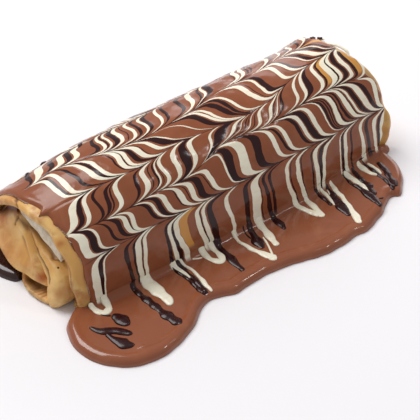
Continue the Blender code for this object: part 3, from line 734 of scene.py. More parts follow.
@dataclass(frozen=True)
class Marbling:
    """The poured stripes and the lines combed through them."""

    lines: tuple[CombLine, ...] = (
        CombLine(1, Table(((-110, 9), (-85, 13), (120, 14))), Table((
            (-110, 27.2), (-98, 29), (-90, 30.5), (-75, 32.1), (-58.9, 33.4), (1.1, 34),
            (41.1, 34.5), (61.5, 33.6), (81.6, 32.4), (96.3, 30.8), (109.2, 29), (121.1, 27.8)))),
        CombLine(-1, Table(((-110, 7), (-92, 9.5), (-55, 13), (0, 15), (60, 15),
                            (115, 13))), Table((
            (-110.4, 48.3), (-105.6, 46.9), (-94.6, 46.4), (-81.9, 46.8), (-67.9, 47.7),
            (-53.5, 49.5), (-38.8, 49.5), (-31.9, 49.9), (-22.2, 52), (-7.9, 57), (3.5, 58.1),
            (17.8, 57), (26.4, 56.3), (39.2, 56.9), (61.5, 58.3), (76.6, 57.1), (90, 54.8),
            (104, 51.7), (115.9, 50.1)))),
        CombLine(1, Table(((-110, 9), (-85, 12.5), (115, 12.5))), Table((
            (-110.2, 61.8), (-96, 63.8), (-82.2, 65), (-68, 65.2), (-53.5, 65.5),
            (-39.2, 67.1), (-24.9, 68.9), (-10.9, 68.6), (3.5, 67.4), (17.8, 66.4), (29.1, 67.4),
            (39.2, 68.2), (46.7, 70.7), (61.9, 73.9), (77.8, 75.9), (90.7, 76), (103.2, 75.2),
            (117.3, 74.1)))),
        CombLine(-1, Table(((-110, 7), (-90, 10), (-50, 16), (10, 17),
                            (115, 13))), Table((
            (-109.7, 86.6), (-103.2, 87), (-90.4, 89.5), (-82.1, 89.1), (-68, 85.8),
            (-57.9, 82.9), (-46.3, 81.7), (-32.2, 81.9), (-18, 83.1), (-3.6, 85.3), (10.8, 89),
            (25.2, 90.5), (39.4, 91.2), (54.4, 92.3), (71.1, 93.8), (91.6, 93.6), (119.2, 93)))),
        CombLine(1, Table(((-110, 9), (-80, 13), (115, 13))), Table((
            (-110, 100.7), (-90, 105.1), (-60, 103), (-30, 102.6), (0, 105.7),
            (40, 109.2), (80, 109.5), (117, 108.1)))),
        CombLine(-1, Table(((-110, 8), (-80, 13), (115, 13))), Table((
            (-110, 114.8), (-90, 120.8), (-60, 122.5), (-30, 123.1), (0, 125.1),
            (40, 127.1), (80, 125.2), (117, 123.2)))),
        CombLine(1, Table(((-110, 9), (-80, 12), (115, 12))), Table((
            (-110, 129), (-90, 136.5), (-60, 142), (-30, 143.7), (0, 144.5),
            (40, 145), (80, 141), (117, 138.2)))),
    )
    sway: Waves = Waves(26.0, 0.5, 11)
    fine_sway: Waves = Waves(9.0, 0.12, 12)
    read_span: float = 0.7
    edge: float = 0.5
    order: tuple[int, ...] = (0, 1, 2, 3, 4, 5, 2, 3, 6, 0)
    sources: tuple[int, ...] = (0, 0, 1, 2, 3, 4, 0)
    tables: tuple[tuple[Tone, tuple[Rows, ...]], ...] = (
        (Tone.BARE, BARE_STRIPES), (Tone.DARK, DARK_STRIPES), (Tone.WHITE, WHITE_STRIPES))

    def poured_x(self, x: Array, arc: Array) -> Array:
        """Where along the roll the glaze at a point was poured, before the combing."""
        source = x - sum(line.drag(x, arc) for line in self.lines)
        return source + self.sway.at(x, arc) + self.fine_sway.at(x, arc)

    def stripes(self, tone: Tone, kind: int) -> list[Triple]:
        """The stripes of one kind of band.

        Args:
            tone: Which stripes.
            kind: The band's kind: 0 at a foot, 1 to 5 upwards, 6 above the far foot.

        Returns:
            For each stripe its place at the band's start, its lean over the band, and half width.
        """
        rows = dict(self.tables)[tone][self.sources[kind]]
        leans = [(high - low) / self.read_span for low, high, _ in rows]
        return [((low + high - lean) / 2, lean if kind else 0.0, half)
                for (low, high, half), lean in zip(rows, leans)]

    def through(self, level: Number, kind: int) -> Number:
        """How far through its band a level is.

        Args:
            level: Band numbers plus the way through the band.
            kind: The band's kind.

        Returns:
            0 at the band's start to 1 at its end, and 0 all over a foot.
        """
        last = len(self.order) - 1
        return (level * 0.0, level - 1.0, level - np.floor(level), level - np.floor(level),
                level - np.floor(level), level - np.floor(level), last - level)[kind]

    def cover(self, source: Array, level: Array, tone: Tone) -> Array:
        """How much of a tone there is, from 0 to 1, with soft edges.

        Args:
            source: Poured places.
            level: Band numbers plus the way through the band.
            tone: Which stripes.

        Returns:
            One share for each place.
        """
        depth = np.full(source.shape, -FAR_AWAY)
        number = np.minimum(level.astype(int), len(self.order) - 1)
        for band, kind in enumerate(self.order):
            here = number == band
            place, through = source[here], self.through(level[here], kind)
            for start, lean, half in self.stripes(tone, kind):
                depth[here] = np.maximum(depth[here], half - np.abs(place - start - lean * through))
        return np.clip(depth / self.edge + 0.5, 0.0, 1.0)


# ---- finishes
@dataclass(frozen=True)
class GlazeFinish:
    """Glossy milk chocolate, with combed stripes where the piece is marked for them."""

    milk: Colour = srgb(140, 80, 52)
    milk_light: Colour = srgb(160, 100, 70)
    milk_deep: Colour = srgb(112, 60, 40)
    white: Colour = srgb(240, 234, 212)
    cream: Colour = srgb(226, 205, 165)
    dark: Colour = srgb(44, 15, 16)
    dark_light: Colour = srgb(84, 40, 32)
    dark_milk_and_shade: Colour = srgb(50, 26, 22)
    bare: Colour = srgb(206, 146, 72)
    roughness: float = 0.17
    raggedness: float = 0.7
    shade_wander: float = 14.0
    shade_run: Pair = (3.0, 12.0)
    foot_run: Pair = (0.45, 0.8)
    bare_run: Pair = (0.08, 0.2)
    hair: Pair = (0.032, 0.044)
    hair_wander: float = 0.05
    hair_x: Pair = (-106.0, -92.0)
    hair_strength: float = 0.8

    def milk_colour(self, shader: Shader) -> Socket:
        """Milk chocolate with faint cloudy streaks.

        Args:
            shader: Where it goes.

        Returns:
            The colour.
        """
        cloud = shader.noise(14.0, roughness=0.55, distortion=0.6).between(0.45, 0.8)
        deep = shader.noise(9.0, detail=2.0, roughness=0.5, distortion=0.3, along=0.5)
        deep = deep.between(0.56, 0.85)
        base = shader.mix(self.milk, self.milk_light, cloud * 0.45)
        return shader.mix(base, self.milk_deep, deep * 0.4)

    def sheen(self, shader: Shader, size: float, spread: float, less: float) -> Value:
        """Uneven roughness, in lumps of about a size, from a little less than the glaze's own."""
        return shader.noise(size, detail=2.0, roughness=0.5) * spread + (self.roughness - less)

    def plain(self, name: str, dark_before: float) -> Material:
        """The finish of a pool.

        Args:
            name: The material's name.
            dark_before: Place along the roll; left of it the pool is dark chocolate with painted shade.

        Returns:
            The material.
        """
        shader = Shader(name, Specular_IOR_Level=POOL_SHINE)
        # Left of dark_before the pool turns to dark chocolate with painted shade, under the overhanging
        # flap.
        left = shader.noise(12.0) * self.shade_wander - shader.along() + dark_before
        shader.feed(Base_Color=shader.mix(self.milk_colour(shader), self.dark_milk_and_shade,
                                          left.between(*self.shade_run)),
                    Roughness=self.sheen(shader, 20.0, 0.10, 0.08))
        shader.bump(shader.noise(2.6, roughness=0.5), 0.05)
        return shader.material

    def combed(self, marbling: Marbling, kind: int, mark: str) -> Material:
        """The finish of the coat in one kind of band.

        Args:
            marbling: The stripes to lay.
            kind: The kind of band.
            mark: Name of the UV map that holds poured place and level, over MARK_SCALE.

        Returns:
            The material.
        """
        shader = Shader(f"marbled_glaze_{kind}", Specular_IOR_Level=GLAZE_SHINE)
        poured, level = (value * MARK_SCALE for value in shader.marked(mark))
        poured = poured + (shader.noise(5.0, detail=2.0) - 0.5) * self.raggedness
        last = len(marbling.order)
        foot, first, top = 0, 1, len(marbling.sources) - 1
        through = {first: level - 1.0, top: last - 1.0 - level}.get(kind, level.fraction())
        kept = level.smallest(last - level).between(*self.foot_run) if kind == foot else 1.0
        colour = self.milk_colour(shader)
        streaky = shader.noise(3.0, along=0.35).between(0.5, 0.8)
        tones = {Tone.BARE: self.bare, Tone.DARK: self.dark,
                 Tone.WHITE: shader.mix(self.white, self.cream, streaky * 0.45)}
        for tone, tint in tones.items():
            total = None
            for start, lean, half in marbling.stripes(tone, kind):
                middle = through * lean + start if lean else start
                inside = poured.within(middle, half)
                total = inside if total is None else total.largest(inside)
            if total is not None and (tone is not Tone.BARE or kind != foot):
                share = through.between(*self.bare_run) if tone is Tone.BARE else kept
                colour = shader.mix(colour, tint, total * share)
        if kind != foot:
            edge = 0.5 - abs(through - 0.5) + shader.noise(6.0, detail=2.0) * self.hair_wander
            line = 1 - edge.between(*self.hair)
            if kind in (first, top):
                line = line * through.above(0.5)
            reach = shader.along().between(*self.hair_x) * self.hair_strength
            colour = shader.mix(colour, self.dark, line * reach)
        shader.feed(Base_Color=colour, Roughness=self.sheen(shader, 18.0, 0.12, 0.05))
        shader.bump(shader.noise(3.2, roughness=0.5), 0.06)
        return shader.material

    def solid(self, name: str, colour: Colour, other: Colour) -> Material:
        """The finish of one tone of drizzle.

        Args:
            name: The material's name.
            colour: Its main colour.
            other: The colour of its streaks.

        Returns:
            The material.
        """
        shader = Shader(name, Specular_IOR_Level=GLAZE_SHINE)
        streaky = shader.noise(3.5).between(0.5, 0.8)
        shader.feed(Base_Color=shader.mix(colour, other, streaky * 0.5),
                    Roughness=self.sheen(shader, 8.0, 0.12, 0.03))
        shader.bump(shader.noise(1.8, roughness=0.5), 0.08)
        return shader.material


@dataclass(frozen=True)
class BakeAndShade:
    """Where a piece browned, and where its creases lie, with painted shade darkening them."""

    patches: Rows = ()
    creases: tuple[tuple[float, float, float, Rows], ...] = ()
    skin: Waves = Waves(9.0, 0.07, 81)
    squash: float = 0.3

    def read(self, points: Array) -> tuple[Array, Array]:
        """Read the browning and the creases.

        Args:
            points: Places, x, y and z on the last axis.

        Returns:
            Browning and painted crease shade in pairs, and how far the surface stands out.
        """
        brown_and_shade = np.zeros(points.shape[:-1])
        dark = np.zeros(points.shape[:-1])
        lift = self.skin.at(*np.moveaxis(points, -1, 0))
        squash = np.array([self.squash, 1.0, 1.0])
        for *centre, reach, amount in self.patches:
            away = np.linalg.norm((points - centre) * squash, axis=-1)
            share = amount * np.exp(-(away / reach) ** 2)
            brown_and_shade = np.where(np.abs(share) > np.abs(brown_and_shade), share, brown_and_shade)
        for width, depth, darkness, line in self.creases:
            away = np.full(points.shape[:-1], FAR_AWAY)
            for first, last in zip(line[:-1], line[1:]):
                start, run = np.array(first) * squash, (np.array(last) - first) * squash
                share = np.clip(((points * squash - start) @ run) / (run @ run), 0.0, 1.0)
                gap = points * squash - start - share[..., None] * run
                away = np.minimum(away, np.linalg.norm(gap, axis=-1))
            shape = np.exp(-(away / width) ** 2)
            dark = np.maximum(dark, darkness * shape)
            lift = lift - depth * shape
        return np.stack([brown_and_shade, dark], -1), lift


@dataclass(frozen=True)
class CrepeFinish:
    """Soft crepe, golden from the pan with browner patches, and with painted shade in its creases and
    pinhole.
    """

    name: str
    golden: Colour = srgb(212, 160, 88)
    pale: Colour = srgb(228, 190, 122)
    brown_and_shade: Colour = srgb(170, 92, 36)
    crease_shade_colour: Colour = srgb(88, 40, 12)
    creamy: Colour = srgb(216, 190, 148)
    pinhole_shade: Colour = srgb(34, 20, 12)
    browning: float = 0.6
    roughness: float = 0.42
    pinhole: Triple = (0.0, 0.0, -FAR_AWAY)

    def build(self, mark: str) -> Material:
        """Make the material.

        Args:
            mark: Name of the UV map that holds browning and painted shade.

        Returns:
            The material.
        """
        shader = Shader(self.name, Specular_IOR_Level=0.4)
        browning_and_shade, crease_shade = shader.marked(mark)
        wide = shader.noise(26.0, roughness=0.55, distortion=0.8)
        close = shader.noise(5.0, detail=4.0, distortion=0.3)
        grain = shader.noise(0.9)
        colour = shader.mix(self.golden, self.pale, wide.between(0.42, 0.62))
        patch = (wide * 0.7 + close * 0.3).between(0.5, 0.64)
        colour = shader.mix(colour, self.brown_and_shade, patch * self.browning)
        speck = close.between(0.6, 0.75) * grain.between(0.45, 0.7)
        colour = shader.mix(colour, self.brown_and_shade, speck * 0.35)
        mottle = shader.noise(4.0, distortion=0.5) * 1.1 + 0.45
        # Browning from the marks; the flap's patch high at the far side is painted shade.
        colour = shader.mix(colour, self.brown_and_shade, (browning_and_shade.largest(0.0) * mottle).smallest(1.0))
        colour = shader.mix(colour, self.creamy, ((0.0 - browning_and_shade).largest(0.0) * mottle).smallest(1.0))
        # Painted shade in the creases and in the gaps between the folds.
        colour = shader.mix(colour, self.crease_shade_colour, crease_shade.smallest(1.0))
        # Painted shade: a dark dot inside the pinhole.
        colour = shader.mix(self.pinhole_shade, colour, shader.gap(self.pinhole).between(0.45, 0.75))
        shader.feed(Base_Color=colour, Roughness=close * 0.2 + (self.roughness - 0.1))
        shader.bump(close * 0.8 + grain * 0.25, 0.22)
        return shader.material


@dataclass(frozen=True)
class CreamFinish:
    """Smooth whipped cream, with painted shade along its crease."""

    light: Colour = srgb(222, 210, 188)
    shade: Colour = srgb(196, 178, 148)
    soaked_and_shade: Colour = srgb(128, 94, 54)

    def build(self, mark: str) -> Material:
        """Make the material.

        Args:
            mark: Name of the UV map that holds browning and painted shade.

        Returns:
            The material.
        """
        shader = Shader("whipped_cream", Specular_IOR_Level=0.35)
        soaked_and_shade, crease_shade = shader.marked(mark)
        streak = shader.noise(4.0, distortion=0.4, along=0.4)
        colour = shader.mix(self.light, self.shade, streak.between(0.4, 0.75))
        # Painted shade along the cream's crease under the band's edge, and its soaked patch.
        colour = shader.mix(colour, self.soaked_and_shade, soaked_and_shade.largest(crease_shade).smallest(1.0))
        shader.feed(Base_Color=colour, Roughness=streak * 0.2 + 0.3)
        shader.bump(shader.noise(1.6), 0.15)
        return shader.material


# ---- glaze pieces
@dataclass(frozen=True)
class GlazeCoat:
    """The poured coat over the roll, which flares out into the pools at its feet."""

    roll: Roll
    marbling: Marbling
    columns: int = 286
    band_rows: int = 20
    foot_rows: int = 10
    inner_points: int = 22
    edge_round: float = 2.6
    edge_steps: tuple[float, ...] = (0.0, 0.12, 0.4, 0.8, 1.3, 1.9, 2.6, 3.4)
    flare: float = 4.4
    skirt: float = 2.6
    pool_top: float = 4.05
    arc_samples: int = 501
    left_wave: Waves = Waves(22.0, 0.45, 21)
    right_wave: Waves = Waves(10.0, 0.6, 22)
    swell: Waves = Waves(24.0, 0.22, 23)
    dimple: Waves = Waves(7.0, 0.06, 24)
    under: float = 1.2
    span: Pair = (-106.5, 105.0)
    fade: float = 8.0
    crown: float = 56.0
    crown_sink: float = 0.45
    crown_top: float = 62.0
    rounds: int = 3
    skirt_drop: float = 0.5
    least_foot: Pair = (0.3, 0.2)
    white_lift: float = 0.16
    dark_lift: float = 0.08
    # The ridge's height, distance from its line and width; the groove's depth and width; how much of
    # both is left at the start of the combing, where that is, and over what run they grow.
    ridge: Triple = (0.10, 1.7, 0.8)
    groove: Pair = (0.20, 0.7)
    comb_fade: Triple = (0.3, -104.0, 12.0)
    foot_smooth: float = 3.0
    edge_smooth: float = 2.0
    edge_depth: float = 1.95
    inner_turns: Pair = (0.985, 0.015)
    inner_gap: float = 0.05
    inner_inset: float = 2.2
    left_drips: Rows = ((0.432, 0.010, 4.2), (0.37, 0.01, 0.8), (0.29, 0.008, 1.0))
    right_drips: Rows = ((0.365, 0.028, 2.6), (0.45, 0.012, -1.5), (0.25, 0.006, 1.0))

    def shares(self) -> Array:
        """Places between the coat's edges, closer together at the edges.

        Returns:
            Shares of the way from the left edge to the right one.
        """
        length = float(self.roll.glaze_right.value(0.5) - self.roll.glaze_left.value(0.5))
        edge = np.array(self.edge_steps) / length
        middle = np.linspace(edge[-1], 1 - edge[-1], self.columns)[1:-1]
        return np.concatenate([edge, middle, 1 - edge[::-1]])

    def foot(self, x: Number) -> tuple[Array, Array]:
        """The foot's size, which gets less towards the coat's ends.

        Args:
            x: Place along the roll.

        Returns:
            The flare's radius and the skirt's width.
        """
        inwards = np.maximum(np.minimum(x - self.span[0], self.span[1] - x), 0.0)
        near = ease(inwards / self.fade)
        flare, skirt = self.least_foot
        return self.flare * blend(flare, 1.0, near), self.skirt * blend(skirt, 1.0, near)

    def edges(self, turn: Array) -> tuple[Array, Array]:
        """The coat's edges, with drips.

        Args:
            turn: 0 at the near foot to 1 at the far foot.

        Returns:
            x of the left and of the right edge.
        """
        left = self.roll.glaze_left.value(turn) + self.left_wave.at(turn * ARCH_LENGTH)
        right = self.roll.glaze_right.value(turn) + self.right_wave.at(turn * ARCH_LENGTH)
        for place, width, reach in self.left_drips:
            left = left - reach * np.exp(-((turn - place) / width) ** 2)
        for place, width, reach in self.right_drips:
            right = right + reach * np.exp(-((turn - place) / width) ** 2)
        return left, right

    def rows(self) -> list[tuple[int, float]]:
        """The coat's rows, from the near foot up.

        Returns:
            Each row's band between two guide lines, and its share of the way through the band.
        """
        bands = len(self.marbling.lines) + 3
        rows = []
        for band in range(bands):
            steps = self.foot_rows if band in (0, bands - 1) else self.band_rows
            rows += [(band, 0.5 - 0.5 * math.cos(math.pi * step / steps)) for step in range(steps)]
        return rows + [(bands - 1, 1.0)]

    def build(self, materials: Sequence[Material], mark: str) -> Object:
        """Make the coat.

        Args:
            materials: Its finish for each kind of band.
            mark: The UV map that takes poured place and level.

        Returns:
            The object.
        """
        rows = self.rows()
        bands = np.array([band for band, _ in rows])
        places = np.array([place for _, place in rows])
        turns = np.linspace(0.0, 1.0, self.arc_samples)
        shares = self.shares()
        outer = np.zeros((len(shares), len(rows), 3))
        arcs = np.zeros((len(shares), len(rows)))
        gone = np.zeros((len(shares), len(rows)))
        inner = []
        for index, share in enumerate(shares):
            nominal = float(blend(*self.span, share))
            ys, zs = self.roll.arch(np.full(turns.shape, nominal), turns, 0.0)
            arc = distances(np.stack([ys, zs], 1))
            total = arc[-1]
            flare, skirt = (float(size) for size in self.foot(nominal))
            half = self.arc_samples // 2
            near_top = np.interp(self.pool_top + flare, zs[:half], arc[:half])
            far_top = total - np.interp(self.pool_top + flare, zs[:half:-1],
                                        total - arc[:half:-1])
            run = flare * math.pi / 2 + skirt
            x = np.full(len(rows), nominal)
            feet = [np.full(len(rows), foot)
                    for foot in (near_top - run, near_top, far_top, far_top + run)]
            pick = np.arange(len(rows))
            for _ in range(self.rounds):
                lines = [line.height.value(x) for line in self.marbling.lines]
                guides = np.stack([*feet[:2], *lines, *feet[2:]])
                s = blend(guides[bands, pick], guides[bands + 1, pick], places)
                turn = np.interp(s, arc, turns)
                left, right = self.edges(turn)
                x = blend(left, right, share)
            y, z = self.roll.arch(x, turn, 0.0)
            for top, sign in ((near_top, -1.0), (far_top, 1.0)):
                down = (s - top) * sign
                foot = down > 0
                wall = float(np.interp(top, arc, ys))
                angle = np.minimum(down / flare, math.pi / 2)
                past = np.maximum(down - flare * math.pi / 2, 0.0)
                y = np.where(foot, wall + sign * (flare * (1 - np.cos(angle)) + past), y)
                z = np.where(foot, self.pool_top + flare * (1 - np.sin(angle))
                             - self.skirt_drop * ease(past / skirt), z)
            outer[index] = np.stack([x, y, z], 1)
            arcs[index] = s
            gone[index] = np.minimum(x - left, right - x)
            inner.append(self.inside(outer[index]))
        outer, marks = self.relief(outer, arcs, gone, np.array([b + t for b, t in rows]))
        mesh = Mesh()
        ids = mesh.add(outer, marks)
        inner_ids = mesh.add(np.array(inner))
        kinds = [self.marbling.order[band] for band in bands[:-1]]
        mesh.grid(np.concatenate([ids, inner_ids], 1), wrap=True, kinds=kinds)
        for end in (0, -1):
            mesh.strip(ids[end].tolist(), inner_ids[end][::-1].tolist())
        return mesh.make("marbled_coat", materials, mark)

    def inside(self, ring: Array) -> Array:
        """The hidden inner side of one ring.

        Args:
            ring: The ring's outer points, from the near foot to the far foot.

        Returns:
            Its inner points, from the far foot back to the near foot.
        """
        turn = np.linspace(*self.inner_turns, self.inner_points)
        x = np.interp(turn, np.linspace(0.0, 1.0, len(ring)), ring[:, 0])
        inset = np.minimum(self.roll.wrap_inset(x, turn) - self.inner_gap, self.inner_inset)
        y, z = self.roll.arch(x, turn, inset)
        points = np.stack([x, y, np.maximum(z, self.under)], 1)
        far, near = ([[*foot[:2], self.under]] for foot in (ring[-1], ring[0]))
        return np.concatenate([far, points, near])

    def relief(self, points: Array, arcs: Array, gone: Array, level: Array) -> tuple[Array, Array]:
        """Raise the stripes, sink the combed lines and round the edges.

        Args:
            points: The smooth coat, by column and row.
            arcs: Arc length up from the near foot.
            gone: Distance from the nearer edge.
            level: Each row's band number plus its way through the band.

        Returns:
            The finished points, and the marks for the material.
        """
        along = np.gradient(points, axis=0)
        up = np.gradient(points, axis=1)
        normal = unit(np.cross(along, up))
        if normal[len(points) // 2, points.shape[1] // 2, 2] < 0:
            normal = -normal
        x = points[..., 0]
        poured = self.marbling.poured_x(x, arcs)
        level = np.broadcast_to(level, x.shape)
        lift = (self.white_lift * self.marbling.cover(poured, level, Tone.WHITE)
                + self.dark_lift * self.marbling.cover(poured, level, Tone.DARK))
        least, start, run = self.comb_fade
        combed = blend(least, 1.0, ease((x - start) / run))
        ridge, ridge_at, ridge_width = self.ridge
        depth, width = self.groove
        for line in self.marbling.lines:
            away = line.away(x, arcs)
            lift = lift + combed * (ridge * np.exp(-((np.abs(away) - ridge_at) / ridge_width) ** 2)
                                    - depth * np.exp(-(away / width) ** 2))
        lift = lift + self.swell.at(x, arcs) + self.dimple.at(x, arcs)
        height = points[..., 2]
        lift = lift - self.crown_sink * ease((height - self.crown) / (self.crown_top - self.crown))
        lift = lift * ease((height - self.pool_top) / self.foot_smooth) * ease(gone / self.edge_smooth)
        open_edge = np.clip(1 - gone / self.edge_round, 0.0, 1.0)
        lift = lift - self.edge_depth * fall_back(open_edge)
        points = points + normal * lift[..., None]
        return points, np.stack([poured, level], -1) / MARK_SCALE


@dataclass(frozen=True)
class Pool:
    """Glaze that ran out flat round the foot."""

    name: str
    outline: Rows
    ripple: Table
    wobble: Waves
    rim: Table = Table(((0, 0.15), (0.25, 1), (0.6, 1.9), (1.1, 2.7), (1.8, 3.4), (2.8, 3.95),
                        (4.2, 4.3), (5.6, 4.15), (7, 3.95), (9.6, 3.95), (14, 4), (80, 4.02)))
    rings: tuple[float, ...] = (0.25, 0.6, 1.1, 1.7, 2.4, 3.2, 4.0, 4.7, 5.3, 5.9, 6.5, 7.1, 7.7, 8.3)
    spacing: float = 0.9
    kept_ring: float = 0.9
    fill: float = 1.3
    fill_seed: int = 5
    fill_shake: float = 0.3
    fill_gap: float = 0.6
    swell: Waves = Waves(26.0, 0.10, 31)
    swell_fade: Pair = (3.0, 6.0)
    ripple_width: float = 0.75
    block: int = 512

    def path(self) -> Array:
        """The outline on the plate."""
        path = smooth_path(self.outline, self.spacing, closed=True)
        return path + self.normals(path) * self.wobble.at(path[:, 0], path[:, 1])[:, None]

    @staticmethod
    def normals(path: Array) -> Array:
        """Unit normals into a closed path.

        Args:
            path: Its places.

        Returns:
            One normal for each place.
        """
        before = np.roll(path, 1, 0)
        along = np.roll(path, -1, 0) - before
        area = np.sum(before[:, 0] * path[:, 1] - path[:, 0] * before[:, 1])
        turn = 1.0 if area > 0 else -1.0
        return unit(np.stack([-turn * along[:, 1], turn * along[:, 0]], 1))

    def away(self, points: Array, path: Array) -> Array:
        """Distance of each point from a path, in blocks that fit in memory.

        Args:
            points: Places on the plate.
            path: The path's places.

        Returns:
            One distance for each point.
        """
        return np.concatenate([
            np.min(np.hypot(*(block[:, None] - path[None]).transpose(2, 0, 1)), 1)
            for block in np.array_split(points, len(points) // self.block + 1)])

    def height(self, points: Array, path: Array) -> Array:
        """Height of the pool's surface.

        Args:
            points: Places on the plate.
            path: The outline.

        Returns:
            One height for each place.
        """
        away = self.away(points, path)
        ripple, ripple_at = self.ripple.at(points[:, 0])
        ridge = ripple * np.exp(-((away - ripple_at) / self.ripple_width) ** 2)
        start, run = self.swell_fade
        gentle = self.swell.at(points[:, 0], points[:, 1]) * ease((away - start) / run)
        return self.rim.value(away) + ridge + gentle

    def build(self, material: Material) -> Object:
        """Make the pool.

        Args:
            material: Its finish.

        Returns:
            The object.
        """
        path = self.path()
        normals = self.normals(path)
        rings = [path]
        for inset in self.rings:
            ring = path + normals * inset
            rings.append(ring[self.away(ring, path) > self.kept_ring * inset])
        low, high = path.min(0), path.max(0)
        draw = np.random.default_rng(self.fill_seed)
        grid = np.stack(np.meshgrid(np.arange(low[0], high[0], self.fill),
                                    np.arange(low[1], high[1], self.fill)), -1).reshape(-1, 2)
        grid = grid + draw.uniform(-self.fill_shake, self.fill_shake, grid.shape) * self.fill
        grid = grid[self.contains(grid, path)]
        grid = grid[self.away(grid, path) > self.rings[-1] + self.fill_gap]
        flat = [Vector(place) for place in np.concatenate(rings + [grid])]
        count = len(path)
        edges = [(i, (i + 1) % count) for i in range(count)]
        places, _, faces, *_ = delaunay_2d_cdt(flat, edges, [], 1, 1e-5)
        top = np.array([tuple(place) for place in places])
        heights = self.height(top, path)
        mesh = Mesh()
        ids = mesh.add(np.column_stack([top, heights])).tolist()
        mesh.faces += [tuple(ids[i] for i in face) for face in faces]
        base = mesh.add(np.column_stack([path, np.zeros(count)])).tolist()
        mesh.faces += [(ids[i], ids[j], base[j], base[i]) for i, j in edges]
        mesh.faces.append(tuple(base[::-1]))
        return mesh.make(self.name, [material])

    @staticmethod
    def contains(points: Array, path: Array) -> Array:
        """Which points lie inside a closed path.

        Args:
            points: Places on the plate.
            path: The path's places.

        Returns:
            True or False for each point.
        """
        inside = np.zeros(len(points), bool)
        for (x0, y0), (x1, y1) in zip(path, np.roll(path, -1, 0)):
            crosses = (y0 > points[:, 1]) != (y1 > points[:, 1])
            if y0 != y1:
                inside ^= crosses & (points[:, 0] < (x1 - x0) * (points[:, 1] - y0) / (y1 - y0) + x0)
        return inside


@dataclass(frozen=True)
class Bead:
    """A drop of glaze that set on the plate, flat below."""

    name: str
    centre: Triple
    radii: Triple
    lumps: Waves = Waves(6.0, 0.25, 34)
    rings: int = 20
    spokes: int = 36

    def build(self, material: Material) -> Object:
        """Make the drop.

        Args:
            material: Its finish.

        Returns:
            The object.
        """
        tilt, turn = np.meshgrid(np.linspace(-1.0, 1.0, self.rings + 2)[1:-1] * math.pi / 2,
                                 np.arange(self.spokes) / self.spokes * 2 * math.pi, indexing="ij")
        way = np.stack([np.cos(tilt) * np.cos(turn), np.cos(tilt) * np.sin(turn), np.sin(tilt)], -1)
        points = way * self.radii + self.centre
        points = points + way * self.lumps.at(*np.moveaxis(points, -1, 0))[..., None]
        points[..., 2] = np.maximum(points[..., 2], 0.0)
        mesh = Mesh()
        mesh.tube(points.swapaxes(0, 1))
        return mesh.make(self.name, [material])


@dataclass(frozen=True)
class Drizzle:
    """Lines of one tone that ran off the roll and out over the pool."""

    name: str
    strokes: tuple[Rows, ...]
    lumpiness: float
    rise: float = 0.62
    spacing: float = 0.45
    across: int = 9
    sink: float = 0.5
    lump_length: float = 9.0
    lump_seed: int = 40
    drift_length: float = 13.0
    drift_seed: int = 100
    drift_share: float = 2.0
    thinnest: float = 0.12
    rise_share: float = 0.2
    lump_rise: float = 1.6
    belly: float = 0.75
    bridge: float = 0.3
    tuck: float = 0.3
    under_steps: tuple[float, ...] = (0.6, -0.6)
    foot_turn: float = 0.2
    foot_samples: int = 60
    foot_reach: float = 0.97

    def build(self, pool: Pool, coat: GlazeCoat, material: Material) -> Object:
        """Make all the lines as one object.

        Args:
            pool: What they lie on.
            coat: What they run down from.
            material: Their finish.

        Returns:
            The object.
        """
        outline = pool.path()
        mesh = Mesh()
        for number, stroke in enumerate(self.strokes):
            path = smooth_path(stroke, self.spacing, closed=False)
            run = distances(path)
            along = unit(np.gradient(path[:, :2], axis=0))
            side = np.stack([along[:, 1], -along[:, 0]], 1)
            lump = Waves(self.lump_length, self.lumpiness, self.lump_seed + number).at(run)
            drift = Waves(self.drift_length, self.lumpiness * self.drift_share,
                          self.drift_seed + number).at(run)
            width = path[:, 2] * (1 + lump)
            tip = end_tips(run, width)
            place = path[:, :2] + side * drift[:, None]
            ground = self.ground(place, outline, pool, coat)
            rise = (np.minimum(self.rise, self.rise_share * width + self.thinnest)
                    * (1 + self.lump_rise * lump) * np.sqrt(tip))
            rings = []
            for step in np.linspace(-1, 1, self.across):
                top = (1 - step * step) ** self.belly
                spot = place + side * (width * tip * 0.5 * step)[:, None]
                low = self.ground(spot, outline, pool, coat)
                rings.append(np.column_stack([
                    spot, np.maximum(low, ground - self.bridge) + rise * top
                    - self.sink * self.tuck * (1 - top)]))
            for step in self.under_steps:
                spot = place + side * (width * tip * 0.5 * step)[:, None]
                rings.append(np.column_stack([spot, ground - self.sink]))
            mesh.tube(rings)
        return mesh.make(self.name, [material])

    def ground(self, place: Array, outline: Array, pool: Pool, coat: GlazeCoat) -> Array:
        """Height of the glaze below a place: the pool, or the coat's flared foot.

        Args:
            place: Places on the plate.
            outline: The pool's outline.
            pool: The pool.
            coat: The coat.

        Returns:
            One height for each place.
        """
        flat = pool.height(place, outline)
        flare, _ = coat.foot(place[:, 0])
        turn = np.linspace(0.0, self.foot_turn, self.foot_samples)
        centre, half, _ = coat.roll.dome.at(place[:, 0])
        ys, zs = coat.roll.arch(np.zeros(self.foot_samples), turn, 0.0)
        wall = centre - half + np.interp(coat.pool_top + flare, zs, ys) - ys[0]
        into = np.clip(place[:, 1] - (wall - flare), 0.0, flare * self.foot_reach)
        return np.maximum(flat, coat.pool_top + flare - np.sqrt(np.maximum(flare**2 - into**2, 0.0)))


